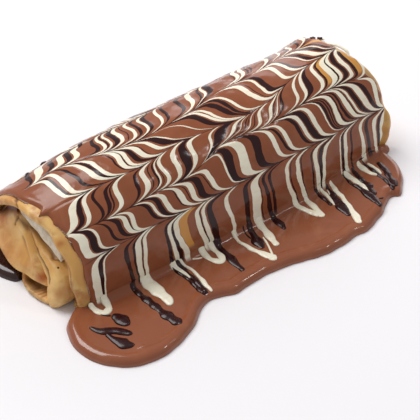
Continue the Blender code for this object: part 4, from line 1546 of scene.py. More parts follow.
@dataclass(frozen=True)
class Trail:
    """Lines of one tone that set proud of the roll, on the glaze or on the bare rim."""

    name: str
    strokes: tuple[Rows, ...]
    bare: bool
    rise: float = 0.55
    rim: float = 2.4
    spacing: float = 0.4
    around: int = 12
    reach: float = 0.004
    sunk: float = 0.2
    rim_share: float = 0.95
    below: float = 0.7
    lumps: Waves = Waves(3.5, 0.12, 90)

    def build(self, roll: Roll, material: Material) -> Object:
        """Make all the lines as one object.

        Args:
            roll: What they lie on.
            material: Their finish.

        Returns:
            The object.
        """
        mesh = Mesh()
        for number, stroke in enumerate(self.strokes):
            rows = smooth_path([(x, turn * ARCH_LENGTH, width) for x, turn, width in stroke],
                               self.spacing, closed=False)
            x, turn = rows[:, 0], rows[:, 1] / ARCH_LENGTH
            inset = self.inset(roll, x, turn)
            place = np.stack([x, *roll.arch(x, turn, inset)], 1)
            ahead = np.stack([x, *roll.arch(x, turn + self.reach, inset)], 1) - place
            normal = unit(np.cross(ahead, np.array([1.0, 0.0, 0.0])))
            normal = normal * np.where(normal[:, 2:] < 0, -1.0, 1.0)
            side = unit(np.cross(unit(np.gradient(place, axis=0)), normal))
            run = np.arange(len(rows)) * self.spacing
            lump = 1 + replace(self.lumps, seed=self.lumps.seed + number).at(run)
            tip = lump * end_tips(run, rows[:, 2])
            rings = []
            for angle in np.arange(self.around) / self.around * 2 * math.pi:
                out = math.sin(angle) * self.rise * (1.0 if math.sin(angle) > 0 else self.below)
                rings.append(place + side * (math.cos(angle) * tip * rows[:, 2] / 2)[:, None]
                             + normal * (out * tip * np.sqrt(rows[:, 2]))[:, None])
            mesh.tube(rings)
        return mesh.make(self.name, [material])

    def inset(self, roll: Roll, x: Array, turn: Array) -> Array:
        """How far the surface that carries the lines lies below the glazed one.

        Args:
            roll: The roll.
            x: Place along it.
            turn: 0 at the near foot to 1 at the far foot.

        Returns:
            A depth.
        """
        if not self.bare:
            return np.full(x.shape, self.sunk)
        over = np.clip(x - roll.wrap_right.value(turn) + self.rim, 0.0, self.rim * self.rim_share)
        return roll.wrap_inset(x, turn) + self.rim - np.sqrt(self.rim**2 - over**2)


# ---- crepe pieces
Section = Callable[[Array, Array, Array], tuple[Array, Array]]
Ends = Callable[[int, Array, Array], Array]


@dataclass(frozen=True)
class Prism:
    """A solid along X whose section is a strip, with a modelled cap at each end."""

    name: str
    columns: int
    rows: int
    bake_and_shade: BakeAndShade
    closed: bool = False
    steps: tuple[float, ...] = (0.6, 1.4, 2.5, 4.0, 6.0, 8.5, 12.0, 17.0, 25.0, 38.0, 60.0, 90.0)

    def build(self, section: Section, ends: Ends, material: Material) -> Object:
        """Make the solid.

        Args:
            section: y and z from x and the two places in the strip, 0 to 1.
            ends: x of a cap from its side, 0 or 1, and the two places.
            material: Its finish.

        Returns:
            The object.
        """
        width = self.columns if self.closed else self.columns + 1
        p, q = np.meshgrid(np.arange(width) / self.columns, np.arange(self.rows + 1) / self.rows,
                           indexing="ij")
        mesh = Mesh()
        caps, xs = [], []
        for side in (0, 1):
            x = ends(side, p, q)
            xs.append(x)
            caps.append(self.lay(mesh, x, section(x, p, q)))
        for ids in caps:
            mesh.grid(ids.T if self.closed else ids, wrap=self.closed)
        for loop in self.loops(width):
            i, j = np.array(loop).T
            first, last = xs[0][i, j], xs[1][i, j]
            rings = [caps[0][i, j]]
            stations = [first + step for step in self.steps]
            stations += [last - step for step in self.steps[::-1]]
            for x in stations:
                rings.append(self.lay(mesh, x, section(x, p[i, j], q[i, j])))
            rings.append(caps[1][i, j])
            mesh.grid(np.stack(rings), wrap=True)
        return mesh.make(self.name, [material], BAKE_AND_SHADE_MARK)

    def lay(self, mesh: Mesh, x: Array, places: tuple[Array, Array]) -> Array:
        """Add points with their browning and painted shade.

        Args:
            mesh: What takes them.
            x: Places along the roll.
            places: Their y and z.

        Returns:
            The points' numbers.
        """
        points = np.stack([x, *places], -1)
        return mesh.add(points, *self.bake_and_shade.read(points))

    def loops(self, width: int) -> list[list[tuple[int, int]]]:
        """The closed loops of grid places round the strip.

        Args:
            width: How many places the strip has across.

        Returns:
            Each loop's places.
        """
        if self.closed:
            return [[(i, 0) for i in range(width)], [(i, self.rows) for i in range(width)]]
        last = self.columns
        return [[(i, 0) for i in range(last + 1)] + [(last, j) for j in range(1, self.rows + 1)]
                + [(i, self.rows) for i in range(last - 1, -1, -1)]
                + [(0, j) for j in range(self.rows - 1, 0, -1)]]


@dataclass(frozen=True)
class OuterCrepe:
    """The wrap: a flattened tube with soft rims, bare past the glaze at both ends."""

    roll: Roll
    bake_and_shade: BakeAndShade
    columns: int = 330
    rows: int = 14
    rounding: float = 2.4
    floor_ends: Pair = (-102.5, 98.0)
    floor_fade: float = 6.0
    arch_share: float = 0.9
    bare_left: Pair = (-100.0, 4.0)
    bare_right: Pair = (96.0, 6.0)
    dent_depth: float = 6.0
    crest_wave: Waves = Waves(30.0, 0.35, 51)
    dent: Waves = Waves(26.0, 0.3, 52)

    def wall(self, x: Array, turn: Array, layer: Array) -> tuple[Array, Array]:
        """A point of the tube's wall.

        Args:
            x: Place along the roll.
            turn: 0 at the near foot to 1 at the far foot.
            layer: 0 outside to 1 inside.

        Returns:
            y and z.
        """
        roll = self.roll
        wall_end = roll.wrap_right.value(turn) - self.rounding
        inset = roll.wrap_inset(np.minimum(x, wall_end), turn) + roll.crepe * layer
        (left, left_run), (right, right_run) = self.bare_left, self.bare_right
        bare = ease((left - x) / left_run) + ease((x - right) / right_run)
        inset = inset - self.dent.at(x, turn * ARCH_LENGTH, layer * self.dent_depth) * bare
        return roll.arch(x, turn, inset, roll.floor * layer)

    def split(self, p: Array) -> tuple[Array, Array, Array]:
        """Turn round the arch, way back along the floor, and whether a place is on the floor."""
        return (np.clip(p / self.arch_share, 0.0, 1.0),
                np.clip((p - self.arch_share) / (1 - self.arch_share), 0.0, 1.0), p > self.arch_share)

    def section(self, x: Array, p: Array, q: Array) -> tuple[Array, Array]:
        """The tube's section: the arch, then the floor back to its start.

        Args:
            x: Place along the roll.
            p: 0 to 1 round the tube.
            q: 0 to 1 through its wall.

        Returns:
            y and z.
        """
        turn, back, under = self.split(p)
        y, z = self.wall(x, turn, q)
        far, near = self.wall(x, np.ones_like(x), q)[0], self.wall(x, np.zeros_like(x), q)[0]
        return (np.where(under, blend(far, near, back), y),
                np.where(under, self.roll.floor * q, z))

    def ends(self, side: int, p: Array, q: Array) -> Array:
        """The rounded rim.

        Args:
            side: 0 for the left end, 1 for the right one.
            p: 0 to 1 round the tube.
            q: 0 to 1 through its wall.

        Returns:
            x.
        """
        turn, back, under = self.split(p)
        crest = (self.roll.wrap_left, self.roll.wrap_right)[side].value(turn)
        flat = ease(np.minimum(back, 1 - back) * self.floor_fade)
        crest = blend(crest, self.floor_ends[side], np.where(under, flat, 0.0))
        crest = crest + self.crest_wave.at(turn * ARCH_LENGTH)
        inward = self.rounding * fall_back(2 * q - 1)
        return crest + (inward if side == 0 else -inward)

    def build(self, material: Material) -> Object:
        """Make the wrap."""
        shape = Prism("outer_crepe", self.columns, self.rows, self.bake_and_shade, closed=True)
        return shape.build(self.section, self.ends, material)


@dataclass(frozen=True)
class Fold:
    """A crepe fold or a layer of cream that runs through the roll, between two sides."""

    roll: Roll
    name: str
    sides: Rows
    columns: int
    rows: int
    wrinkle: Waves
    bake_and_shade: BakeAndShade
    end_share: float = 0.35
    end_length: float = 0.125
    roundness: float = 0.6
    wrinkle_length: float = 60.0

    def edge_points(self, p: Array) -> tuple[Array, Array, Array, Array, Array]:
        """Both sides of the fold.

        Args:
            p: 0 to 1 along it.

        Returns:
            y and z of one side, y and z of the other, and the cap's crest.
        """
        count = len(self.sides) - 1
        table = Table(tuple((index / count, *row) for index, row in enumerate(self.sides)))
        y0, z0, y1, z1, crest = table.at(p)
        share = np.sqrt(np.minimum(np.minimum(p, 1 - p) / self.end_length, 1.0))
        share = blend(self.end_share, 1.0, share) / 2
        my, mz = (y0 + y1) / 2, (z0 + z1) / 2
        return (my + (y0 - my) * 2 * share, mz + (z0 - mz) * 2 * share,
                my + (y1 - my) * 2 * share, mz + (z1 - mz) * 2 * share, crest)

    def section(self, x: Array, p: Array, q: Array) -> tuple[Array, Array]:
        """The strip between the sides, fitted into the wrap."""
        y0, z0, y1, z1, _ = self.edge_points(p)
        return self.roll.settle(x, blend(y0, y1, q), blend(z0, z1, q))

    def ends(self, side: int, p: Array, q: Array) -> Array:
        """The soft cap.

        Args:
            side: 0 for the left end, 1 for the right one.
            p: 0 to 1 along the fold.
            q: 0 to 1 from one side to the other.

        Returns:
            x.
        """
        y0, z0, y1, z1, crest = self.edge_points(p)
        half = np.hypot(y1 - y0, z1 - z0) / 2
        inward = self.roundness * half * fall_back(2 * q - 1)
        inward = inward + self.wrinkle.at(p * self.wrinkle_length, (q - 0.5) * 2 * half)
        if side == 0:
            return crest + inward
        return self.roll.right_end((y0 + y1) / 2) - inward

    def build(self, material: Material) -> Object:
        """Make the fold."""
        shape = Prism(self.name, self.columns, self.rows, self.bake_and_shade)
        return shape.build(self.section, self.ends, material)


@dataclass(frozen=True)
class Flap:
    """The innermost crepe: it fills the roll, and folds down over the left end to a free lip."""

    roll: Roll
    bake_and_shade: BakeAndShade
    columns: int = 150
    rows: int = 110
    turns: Pair = (0.1, 0.9)
    levels: tuple[float, ...] = (0.3, 5.5, 7.6, 8.8, 10.2, 14.0)
    rows_above: float = 3.0
    lip_x: float = -120.5
    lip_z: float = 8.8
    lip_lift: float = 5.0
    crease_x: float = -110.5
    crease_z: float = 34.0
    undercut_x: float = -103.0
    half_width: float = 26.0
    corner_setback: float = 4.5
    side_line: tuple[Pair, Pair] = ((12.0, 34.8), (-22.0, 8.8))
    side_x: float = -103.0
    right_recess: float = 2.2
    right_softness: float = 0.6
    top_gap: float = 1.0
    middle_y: float = 3.0
    corner_limit: float = 1.4
    fold_power: float = 1.3
    lip_tuck: float = 1.0
    turn_under: float = 3.0
    side_run: float = 3.0
    softness: float = 0.7
    pucker: Pair = (0.6, 0.6)
    puckers: Waves = Waves(9.0, 0.35, 71)
    soft: Waves = Waves(22.0, 0.5, 72)

    def lift(self, y: Array) -> Array:
        """How much higher the lip is towards its far corner."""
        return self.lip_lift * np.minimum(np.maximum(y, 0.0) / self.half_width, 1.0) ** 2

    def drawn(self, p: Array, q: Array) -> tuple[Array, Array]:
        """A point on the left end's section.

        Args:
            p: 0 to 1 across, from the near side.
            q: 0 to 1 up, from the lip.

        Returns:
            y and z as drawn.
        """
        turn = blend(*self.turns, p)
        centre, half, height, _ = self.roll.inside(self.roll.drawn_x)
        cosine, sine = np.cos(np.pi * turn), np.sin(np.pi * turn)
        power = 2 / self.roll.squareness
        y = centre - half * np.copysign(np.abs(cosine) ** power, cosine)
        top = height * sine**power
        last = len(self.levels) - 1
        j = q * (last + self.rows_above)
        low = np.interp(j, np.arange(last + 1), self.levels) + self.lift(y) * ease(j / 2)
        start = self.levels[-1] + self.lift(y)
        high = blend(np.minimum(start, top - self.top_gap), top, (j - last) / self.rows_above)
        return y, np.where(j <= last, low, high)

    def section(self, x: Array, p: Array, q: Array) -> tuple[Array, Array]:
        """The filling's section."""
        return self.roll.settle(x, *self.drawn(p, q))

    def ends(self, side: int, p: Array, q: Array) -> Array:
        """The folded face at the left, a plain end at the right.

        Args:
            side: 0 for the left end, 1 for the right one.
            p: 0 to 1 across, from the near side.
            q: 0 to 1 up, from the lip.

        Returns:
            x.
        """
        y, z = self.drawn(p, q)
        soft = self.soft.at(y, z)
        if side == 1:
            return self.roll.right_end(y) - self.right_recess - self.right_softness * soft
        lift = self.lift(y)
        corner = np.minimum(np.abs(y - self.middle_y) / self.half_width, self.corner_limit)
        lip = self.lip_x + self.corner_setback * corner**2
        above = (z - self.lip_z - lift) / (self.crease_z - self.lip_z - lift)
        rising = blend(lip, self.crease_x,
                       np.sin(np.pi / 2 * np.clip(above, 0.0, 1.0) ** self.fold_power))
        under = blend(lip + self.lip_tuck, self.undercut_x,
                      ease((self.lip_z + lift - z) / self.turn_under))
        face = np.where(above >= 0, rising, under)
        (y0, z0), (y1, z1) = self.side_line
        past = ((y - y0) * (z1 - z0) - (z - z0) * (y1 - y0)) / math.hypot(y1 - y0, z1 - z0)
        face = blend(face, self.side_x, ease(past / self.side_run))
        stretch, depth = self.pucker
        return face + soft * self.softness + self.puckers.at(y * stretch, z) * depth

    def build(self, material: Material) -> Object:
        """Make the flap."""
        shape = Prism("folded_flap", self.columns, self.rows, self.bake_and_shade)
        return shape.build(self.section, self.ends, material)


# ---- studio
@dataclass(frozen=True)
class Lamp:
    """A soft box that faces the roll."""

    name: str
    place: Triple
    size: Pair
    power: float
    tint: Colour = (1.0, 1.0, 1.0)

    def hang(self) -> None:
        """Make the light."""
        data = bpy.data.lights.new(self.name, "AREA")
        data.shape = "RECTANGLE"
        data.size, data.size_y = self.size
        data.energy = self.power
        data.color = self.tint
        lamp = bpy.data.objects.new(self.name, data)
        lamp.location = self.place
        lamp.rotation_mode = "QUATERNION"
        lamp.rotation_quaternion = (-Vector(self.place)).to_track_quat("-Z", "Y")
        bpy.context.scene.collection.objects.link(lamp)


@dataclass(frozen=True)
class Studio:
    """Floor, lights and camera."""

    camera_place: Triple = (-0.425, -0.545, 0.566)
    heading: float = 51.3
    pitch: float = 40.0
    focal_pixels: float = 1560.0
    frame_pixels: float = 420.0
    sensor: float = 36.0
    clip: Pair = (0.05, 50.0)
    floor_size: float = 6.0
    floor_drop: float = 0.0002
    floor_roughness: float = 0.45
    floor_colour: Colour = srgb(238, 236, 238)
    sky: Colour = (0.95, 0.94, 0.96)
    sky_strength: float = 0.47
    lamps: tuple[Lamp, ...] = (
        Lamp("key_box", (-0.35, 1.0, 1.7), (1.3, 1.1), 32.0),
        Lamp("back_card", (1.5, 1.1, 0.62), (1.5, 0.9), 9.0, (1.0, 0.95, 0.97)),
        Lamp("spark", (0.62, -0.56, 1.0), (0.12, 0.12), 1.3),
    )

    def build(self) -> None:
        """Make the studio."""
        scene = bpy.context.scene
        scene.view_settings.view_transform = "Standard"
        data = bpy.data.cameras.new("camera")
        data.sensor_width = self.sensor
        data.lens = self.focal_pixels / self.frame_pixels * self.sensor
        data.clip_start, data.clip_end = self.clip
        camera = bpy.data.objects.new("camera", data)
        scene.collection.objects.link(camera)
        a, p = math.radians(self.heading), math.radians(self.pitch)
        forward = Vector((math.cos(a) * math.cos(p), math.sin(a) * math.cos(p), -math.sin(p)))
        right = Vector((math.sin(a), -math.cos(a), 0.0))
        up = right.cross(forward)
        x, y, z = self.camera_place
        camera.matrix_world = Matrix(((right.x, up.x, -forward.x, x), (right.y, up.y, -forward.y, y),
                                      (right.z, up.z, -forward.z, z), (0.0, 0.0, 0.0, 1.0)))
        scene.camera = camera
        self.floor()
        for lamp in self.lamps:
            lamp.hang()
        world = bpy.data.worlds.new("soft_sky")
        world.use_nodes = True
        background = world.node_tree.nodes["Background"]
        background.inputs[0].default_value = (*self.sky, 1.0)
        background.inputs[1].default_value = self.sky_strength
        scene.world = world

    def floor(self) -> None:
        """Make the pale floor, a little below the roll's foot."""
        solid = bmesh.new()
        bmesh.ops.create_grid(solid, x_segments=1, y_segments=1, size=self.floor_size / 2)
        mesh = bpy.data.meshes.new("floor")
        solid.to_mesh(mesh)
        solid.free()
        floor = bpy.data.objects.new("floor", mesh)
        floor.location.z = -self.floor_drop
        shader = Shader("pale_floor", Base_Color=(*self.floor_colour, 1.0),
                        Roughness=self.floor_roughness)
        mesh.materials.append(shader.material)
        bpy.context.scene.collection.objects.link(floor)


# ---- the cake
NEAR_OUTLINE = (
    (-100, -36), (-109.6, -38.4), (-118.8, -44), (-123.4, -51.2), (-125.6, -59), (-125.8, -68.4),
    (-122.9, -77.4), (-116.8, -85.7), (-109.9, -90.9), (-101.2, -93.6), (-90.7, -94.1), (-78.6, -91.3),
    (-68.2, -86.7), (-59.5, -80.4), (-51.4, -76.9), (-43.9, -78.4), (-33.1, -81.4), (-21, -80.1),
    (-6.7, -80.9), (6.2, -83.3), (18.2, -87), (32.6, -88.1), (44.2, -86.9), (54.4, -87.4), (65.2, -83.8),
    (71.9, -81.3), (80.7, -75.6), (85.4, -74.8), (89.3, -76.5), (96, -71.7), (103.8, -63.1),
    (107.6, -54.4), (108.7, -45), (106.7, -40), (96, -30), (60, -34), (0, -36), (-60, -34))
FAR_OUTLINE = (
    (-96, 18), (-104, 5), (-113, 0.5), (-120.5, -0.5), (-124.9, 5), (-128, 16), (-129.3, 28), (-124, 44),
    (-110, 53), (-88, 54), (-66, 51.5), (-42, 54.5), (-14, 52.5), (14, 54.5), (44, 51.5), (72, 54),
    (94, 54.5), (103, 45), (97, 34), (60, 30), (0, 28), (-60, 27))
WHITE_STROKES = (
    ((-104.2, -43.5, 2.4), (-103.8, -47, 3.6), (-103.2, -50.5, 4.2), (-100.5, -52.8, 4.4),
     (-97.2, -51, 4.4), (-96, -47, 4), (-96.4, -43.5, 2.8)),
    ((-70, -43.5, 6), (-69.6, -50, 8.6), (-69.4, -58, 7.8), (-69.3, -64, 6.2), (-70.4, -70, 4)),
    ((-51.5, -43.5, 3), (-50.8, -48, 6), (-50, -53, 3.2), (-49.6, -60, 1.4)),
    ((-46.4, -47, 2), (-45.2, -54, 2), (-45.3, -61, 2.2), (-46, -67, 3), (-47.3, -75, 2)),
    ((-32.7, -43.5, 4), (-32.3, -49, 4), (-31.8, -55, 4), (-29, -59.7, 4.4), (-26, -57, 4.2),
     (-25.6, -51, 3.8), (-26.6, -44, 3.4)),
    ((-34.5, -51, 1.2), (-37.5, -50, 1.1), (-40, -49.2, 0.8)),
    ((-10, -43.5, 2.5), (-10.5, -52, 2.4), (-9.6, -60, 2.8), (-7.9, -66, 3.6), (-5.8, -72, 5.4),
     (-4.5, -77.5, 4.6)),
    ((2.2, -58.5, 1), (0.2, -64, 1.3), (-2, -70, 1.5), (-4, -74, 1.4)),
    ((8, -43.5, 5), (7, -51, 5.2), (6, -58, 5), (4.4, -64, 4.8), (3.8, -69.2, 4)),
    ((33.4, -43.5, 3.6), (34.4, -51, 4), (36.4, -58, 4.2), (39, -64.6, 4.6)),
    ((41.6, -43.5, 3.4), (41.6, -52, 3.8), (40.7, -59, 4.2), (39.4, -66.5, 5)),
    ((53.5, -43.5, 2.6), (53.6, -50, 2.8), (52.7, -57, 2.2), (51.4, -63, 1)),
    ((56.8, -49.5, 0.9), (55.6, -54, 1.1), (54.4, -58, 0.8)),
    ((60.4, -43.5, 3), (61.4, -51, 3.6), (59.6, -58, 3.2), (58, -64, 3.2), (56.4, -70, 3.8),
     (54, -77, 4.6), (51.4, -83.6, 3.8)),
    ((73.3, -43.5, 4), (74.9, -51, 4.4), (75.4, -58, 3.6), (74.9, -63, 2.6), (74, -68, 1.4)),
    ((86, -43.5, 4), (86.2, -50, 4.2), (87, -55, 3), (88.5, -58.5, 1.4)),
    ((91.5, -46.5, 1.8), (92, -52, 2.4), (91, -59, 1.4)))
DARK_STROKES = (
    ((-98.2, -56.5, 5), (-97.6, -61, 7.4), (-96.8, -65, 7.4), (-95.8, -68, 4.6)),
    ((-104.8, -49.5, 0.8), (-102.6, -53.4, 1), (-99.6, -56.8, 1.4)),
    ((-113.2, -56.6, 2), (-111, -61.5, 4.4), (-107.2, -65.2, 5.4), (-103.8, -68, 5), (-101, -71, 5.4),
     (-98.8, -74.4, 3)),
    ((-109, -66, 2.6), (-108.6, -71, 4), (-107, -76.6, 7.6), (-104.8, -79.8, 6), (-102.6, -81.4, 3)),
    ((-78.5, -43.5, 2.6), (-78.4, -50, 3.4), (-78, -57, 4.8), (-77.5, -64, 4.8), (-77.2, -72, 5.6),
     (-76, -79, 6.4), (-74.9, -84.6, 5.2)),
    ((-53.2, -46, 1.6), (-51.6, -55, 2.2), (-51.2, -62, 2.6), (-51.5, -70, 2.8), (-51.6, -74.8, 2)),
    ((-48.6, -46, 3.6), (-48.6, -55, 3.4), (-48.8, -63, 3.4), (-49.6, -71, 3.4), (-50.2, -74.8, 2.2)),
    ((-22.4, -43.5, 3.6), (-22.5, -52, 4.6), (-23, -60, 5.4), (-23.6, -67, 4.6), (-24, -73.4, 3.2)),
    ((1.4, -43.5, 3), (0.4, -49, 3.8), (-0.8, -54, 4.6), (-2.6, -59.6, 6), (-4, -66, 5)),
    ((-3, -46, 0.9), (-3.6, -52, 1), (-4.1, -56.5, 0.8)),
    ((18.2, -43.5, 2.6), (17, -51, 4.4), (16.4, -57, 4.6), (15.9, -61.4, 2.6)),
    ((50.6, -45, 2.4), (50, -54, 3), (50, -62, 2)),
    ((59, -44, 2.4), (57.5, -51, 3), (55.8, -58, 4.6), (53.9, -64, 7.2), (52.8, -69.6, 6.2),
     (51.6, -75, 3.6)),
    ((71.4, -43.5, 1.6), (72, -52, 2), (72, -60, 3), (72.8, -66.5, 6), (72.6, -72.4, 5.6),
     (71.2, -77.6, 3.6), (70.2, -79.6, 2)),
    ((80.1, -44, 2.6), (79, -53, 3.6), (78, -60, 5), (76, -66, 5.8), (74.5, -71, 4.6)),
    ((74.4, -74.2, 1.4), (77.2, -75, 1.2)),
    ((89.5, -44, 1.6), (89.5, -54, 2.6), (89, -63, 3), (88.2, -70, 2.8), (87.4, -72, 3.6),
     (86.4, -73.2, 2.2)),
    ((97, -49.5, 3.6), (95.6, -56, 4.4), (93.6, -62.6, 4.2), (91, -69, 4.6), (89.6, -72.6, 3.4)),
    # This last line, along the right foot, is dark chocolate and partly painted shade where the coat meets
    # the pool.
    ((76, -44.4, 1.8), (83, -42.6, 2.6), (90, -42.6, 3), (97, -41.4, 3), (104, -40.6, 2)))
CREAM_SIDES = (
    (12.3, 37.2, 11.3, 33.6, -108.5), (4.7, 41, 3.4, 32.6, -109.5), (-5, 41.3, -5, 29.8, -109.5),
    (-15.2, 38.1, -13, 26.4, -109), (-23.4, 32, -19.6, 24.2, -108.5), (-26.3, 25.4, -24.7, 23, -108))
BAND_SIDES = (
    (10.1, 31, 10.6, 29.3, -109), (3.4, 29.6, 5.2, 26.6, -110.5), (-4.2, 26.9, -0.8, 22.3, -111.5),
    (-12, 24.6, -8.2, 17, -112.5), (-21, 23, -15.4, 12.4, -114), (-30.5, 18.5, -19.2, 8.8, -116),
    (-36, 10, -20, 4.8, -118), (-36, 0.4, -20, 0.6, -118.5))
POCKET_SIDES = (
    (-4, 8.5, -2, 7.9, -117.5), (-5.3, 5.2, -3.1, 3.6, -119.5), (-8, 3.4, -7.2, 0.6, -121),
    (-14, 3.1, -14, 0.1, -121.5), (-21, 3.1, -21, 0.1, -120.5), (-27, 3, -27, 0.2, -118.5))
# Browning: x, y, z, reach and amount. Creases: width, depth, darkness of their painted shade, then x, y and
# z along the line.
FLAP_BAKE_AND_SHADE = BakeAndShade(
    ((-119, 10, 14.1, 7, 0.62), (-119, 16, 18, 6, 0.62), (-117.6, 0.9, 15.5, 5.5, 0.45),
     # The last patch below, high at the far side, is painted shade where the flap meets the wrap.
     (-116.8, -8, 15, 4.5, 0.4), (-114, -17.9, 12.3, 3.2, 1), (-112, 23, 25, 6, 0.8)),
    ((0.7, 0.8, 0.85, ((-110.2, 10.8, 32.5), (-110.4, 10.9, 30.6), (-111.5, 11.4, 27.4))),
     (1.5, -0.8, 0, ((-111.3, 10.9, 29.2), (-112, 5.9, 27.9), (-112.3, -0.3, 26), (-112.4, -4.2, 23.5),
      (-113, -8.9, 20.1), (-113.7, -13.6, 16.7))),
     (0.6, 0.7, 0.65, ((-112.2, 3.6, 24.2), (-112.6, -2.5, 21.2), (-113.2, -7.5, 17.6), (-113.9, -12, 14))),
     (1, 0.8, 0.75, ((-110.3, 10.9, 32), (-110.4, 6.2, 30.7), (-109.5, 2, 29))),
     # A wide crease of painted shade in the gap between the wrap and the flap's far upper corner.
     (2.8, 2, 1, ((-111.4, 28, 27.5), (-110, 22, 31), (-109, 16, 34.8), (-108.8, 12, 36.2)))))
BAND_BAKE_AND_SHADE = BakeAndShade(
    ((-115, -33.1, 11.4, 3.4, 0.5), (-111.5, -34.1, 13.7, 3, 0.4), (-109, 5, 30, 4.5, 0.55)),
    ((0.6, 0.6, 0.9, ((-108.8, -19, 23.3), (-108.4, -20.8, 22.7), (-107.1, -22, 22.5),
      (-105.1, -24, 22.7))),
     (0.7, 0.3, 0, ((-110, -25.4, 21.2), (-109.8, -25.4, 21.2))),
     (0.5, 0.3, 0.22, ((-116.4, -27.5, 10.8), (-115.6, -31.4, 9.2))),
     (0.5, 0.3, 0.22, ((-116.8, -27, 7.8), (-116, -31.5, 6.4))),
     (1, 0.4, 0.8, ((-107.4, 6.5, 31.2), (-107.1, 1.8, 29.4), (-106.9, -7, 26.5), (-107.6, -17, 24.2),
      (-108.6, -20, 23.4))),
     (1.1, 1.2, 0.85, ((-109.8, 4, 29.6), (-110, 0.5, 28.1), (-110.9, -2.3, 26.1), (-111.6, -6.5, 23.2),
      (-113.1, -14.2, 20.4), (-113.9, -20.6, 18.2), (-115.2, -24.2, 15.6),
      (-116.4, -24.6, 13.4)))), squash=0.8)
PINHOLE = (-109.9, -25.4, 21.2)
POCKET_BAKE_AND_SHADE = BakeAndShade(
    ((-119.5, -4, 5, 2, 0.6), (-117, -20, 3.2, 4, 0.5)),
    # The wide first crease is painted shade inside the pocket; the thin ones are painted shade in its
    # pleats.
    ((2.6, 0.2, 0.85, ((-117, -7.5, 3.9), (-117, -14.5, 3.3))),
     (0.5, 0.4, 0.6, ((-119.8, -13.5, 3.1), (-112, -17.6, 3.1))),
     (0.5, 0.4, 0.6, ((-119.8, -16.4, 3.1), (-112, -19.2, 3.1))),
     (0.5, 0.4, 0.55, ((-119.6, -19.2, 3.1), (-112, -20.6, 3.1))),
     (0.5, 0.4, 0.45, ((-119.2, -22, 3.1), (-112, -22.4, 3.1)))), squash=0.6)
CREAM_BAKE_AND_SHADE = BakeAndShade(
    ((-109, 8, 34.5, 4, 0.45),),
    # Painted shade along the cream's edge under the band.
    ((1.6, 0.6, 0.9, ((-108, 12, 34), (-108, 2.5, 30.8), (-108, -6, 27.6), (-108, -14, 24.9),
      (-108, -20, 23.2))),))
WRAP_BAKE_AND_SHADE = BakeAndShade(
    ((-114.3, 12.7, 43.8, 4, 0.55), (-115.3, 19, 40.2, 5.5, 0.6), (-108.6, -27, 38.2, 1.8, 0.7),
     (-107.6, -41, 8, 3, 0.35), (116, -39, 10.6, 4.5, 0.45), (102, -5, 57, 6, -0.9),
     (105, -13, 55, 6, -0.8), (109, -23, 49, 6, -0.6), (113, -30, 40, 6, -0.6), (104, -17, 55, 2.2, 0.8)),
    ((0.7, 1.1, 1, ((-109.9, 11, 47.4), (-111.4, 8.4, 45.9), (-113.2, 4.8, 44), (-112.4, 3.4, 41.5))),
     (0.9, 0.5, 0.6, ((-109.4, -27, 33), (-109.4, -30.6, 30.4), (-109.3, -35.8, 24), (-110.3, -38.4, 18),
      (-110.4, -38.6, 11), (-110, -38, 4))),
     (0.8, 0.6, 0.4, ((117.5, -32, 24), (118.5, -36, 17), (117, -38.5, 9)))), squash=0.6)
# Set proud of the roll: x, turn and width along each line.
RIM_WHITE = (
    ((98.8, 0.582, 1.6), (100.6, 0.567, 2.8), (101.9, 0.55, 2.6), (102.4, 0.535, 1.4)),
    ((100.4, 0.525, 1.4), (102.6, 0.497, 1.8), (104.4, 0.466, 1.8), (105.7, 0.436, 2), (106, 0.416, 1.6),
     (104.8, 0.402, 1)))
DARK_TIPS = (
    ((-97.8, 0.655, 1.6), (-95.6, 0.672, 2.8), (-93.4, 0.692, 2)),
    ((-85.2, 0.7, 1.4), (-82.7, 0.711, 2.6), (-80.2, 0.722, 1.6)),
    ((-67.4, 0.612, 1.4), (-65.1, 0.626, 2.6), (-62.8, 0.642, 1.6)),
    ((97.2, 0.592, 1.4), (98.2, 0.578, 2), (99, 0.566, 1)),
    ((99.6, 0.562, 1.2), (100.5, 0.548, 2), (101.2, 0.538, 1)))
NEAR_RIPPLE = Table((
    (-130, 0, 9), (-106, 0, 9), (-98, 0.5, 8), (-80, 0.45, 5.4), (-68, 0, 5),
    (-50, 0, 5), (-42, 0.55, 6.6), (20, 0.5, 6.4), (44, 0.4, 6), (56, 0, 5),
    (120, 0, 5)))
FAR_RIPPLE = Table(((-130, 0, 8), (0, 0.2, 8), (110, 0, 8)))
# Left of this place the far pool is dark chocolate with painted shade.
FAR_SHADE_X = -108.0
SPLASH_CENTRE = (108, -40.5, 1.6)
SPLASH_RADII = (5.8, 4.2, 3.6)


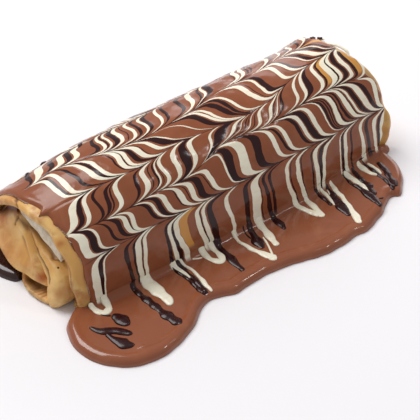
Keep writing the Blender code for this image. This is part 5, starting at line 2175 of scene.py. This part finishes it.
@dataclass
class Cake:
    """Every piece of the roll, by what it replaces."""

    roll: Roll = field(default_factory=Roll)
    marbling: Marbling = field(default_factory=Marbling)
    glaze: GlazeFinish = field(default_factory=GlazeFinish)

    def dress_glaze(self) -> None:
        """Make the coat, the pools and the drizzle."""
        coat = GlazeCoat(self.roll, self.marbling)
        pooled = self.glaze.plain("pooled_glaze", -FAR_AWAY)
        shaded = self.glaze.plain("far_glaze", FAR_SHADE_X)
        pool = Pool("near_pool", NEAR_OUTLINE, NEAR_RIPPLE, Waves(14.0, 0.15, 32))
        far = Pool("far_pool", FAR_OUTLINE, FAR_RIPPLE, Waves(16.0, 0.3, 33))
        white = self.glaze.solid("white_chocolate", self.glaze.white, self.glaze.cream)
        dark = self.glaze.solid("dark_chocolate", self.glaze.dark, self.glaze.dark_light)
        combed = [self.glaze.combed(self.marbling, kind, COMB_MARK)
                  for kind in range(len(self.marbling.sources))]
        pieces = [coat.build(combed, COMB_MARK), pool.build(pooled), far.build(shaded),
                  Bead("splash", SPLASH_CENTRE, SPLASH_RADII).build(pooled),
                  Drizzle("white_drizzle", WHITE_STROKES, 0.07).build(pool, coat, white),
                  Drizzle("dark_drizzle", DARK_STROKES, 0.09).build(pool, coat, dark),
                  Trail("rim_drizzle", RIM_WHITE, bare=True).build(self.roll, white),
                  Trail("dark_tips", DARK_TIPS, bare=False).build(self.roll, dark)]
        for piece in pieces:
            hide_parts("glaze")

    def dress_crepes(self) -> None:
        """Make the wrap, the folds, the flap and the cream."""
        crepe = CrepeFinish("golden_crepe").build(BAKE_AND_SHADE_MARK)
        pale = CrepeFinish("pale_crepe", browning=0.3, pinhole=PINHOLE).build(BAKE_AND_SHADE_MARK)
        rows = (
            (OuterCrepe(self.roll, WRAP_BAKE_AND_SHADE), crepe, "crepe_wrap", "crepe"),
            (Flap(self.roll, FLAP_BAKE_AND_SHADE), crepe, "crepe_flap", "crepe"),
            (Fold(self.roll, "pale_band", BAND_SIDES, 140, 36, Waves(8.0, 0.12, 61), BAND_BAKE_AND_SHADE,
                  roundness=0.8), pale, "crepe_band", "crepe_pale"),
            (Fold(self.roll, "pocket_fold", POCKET_SIDES, 100, 14, Waves(5.0, 0.1, 62), POCKET_BAKE_AND_SHADE),
             pale, "crepe_pocket", "crepe_pale"),
            (Fold(self.roll, "cream_layer", CREAM_SIDES, 100, 24, Waves(12.0, 0.06, 63), CREAM_BAKE_AND_SHADE),
             CreamFinish().build(BAKE_AND_SHADE_MARK), "cream_filling", "cream"),
        )
        for maker, material, node, slot in rows:
            piece = maker.build(material)
            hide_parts(node)


def main() -> None:
    """Dress the cake, then set it in the studio."""
    logging.basicConfig(level=logging.INFO, format="%(name)s %(message)s")
    cake = Cake()
    cake.dress_glaze()
    cake.dress_crepes()
    Studio().build()


if __name__ == "__main__":
    main()
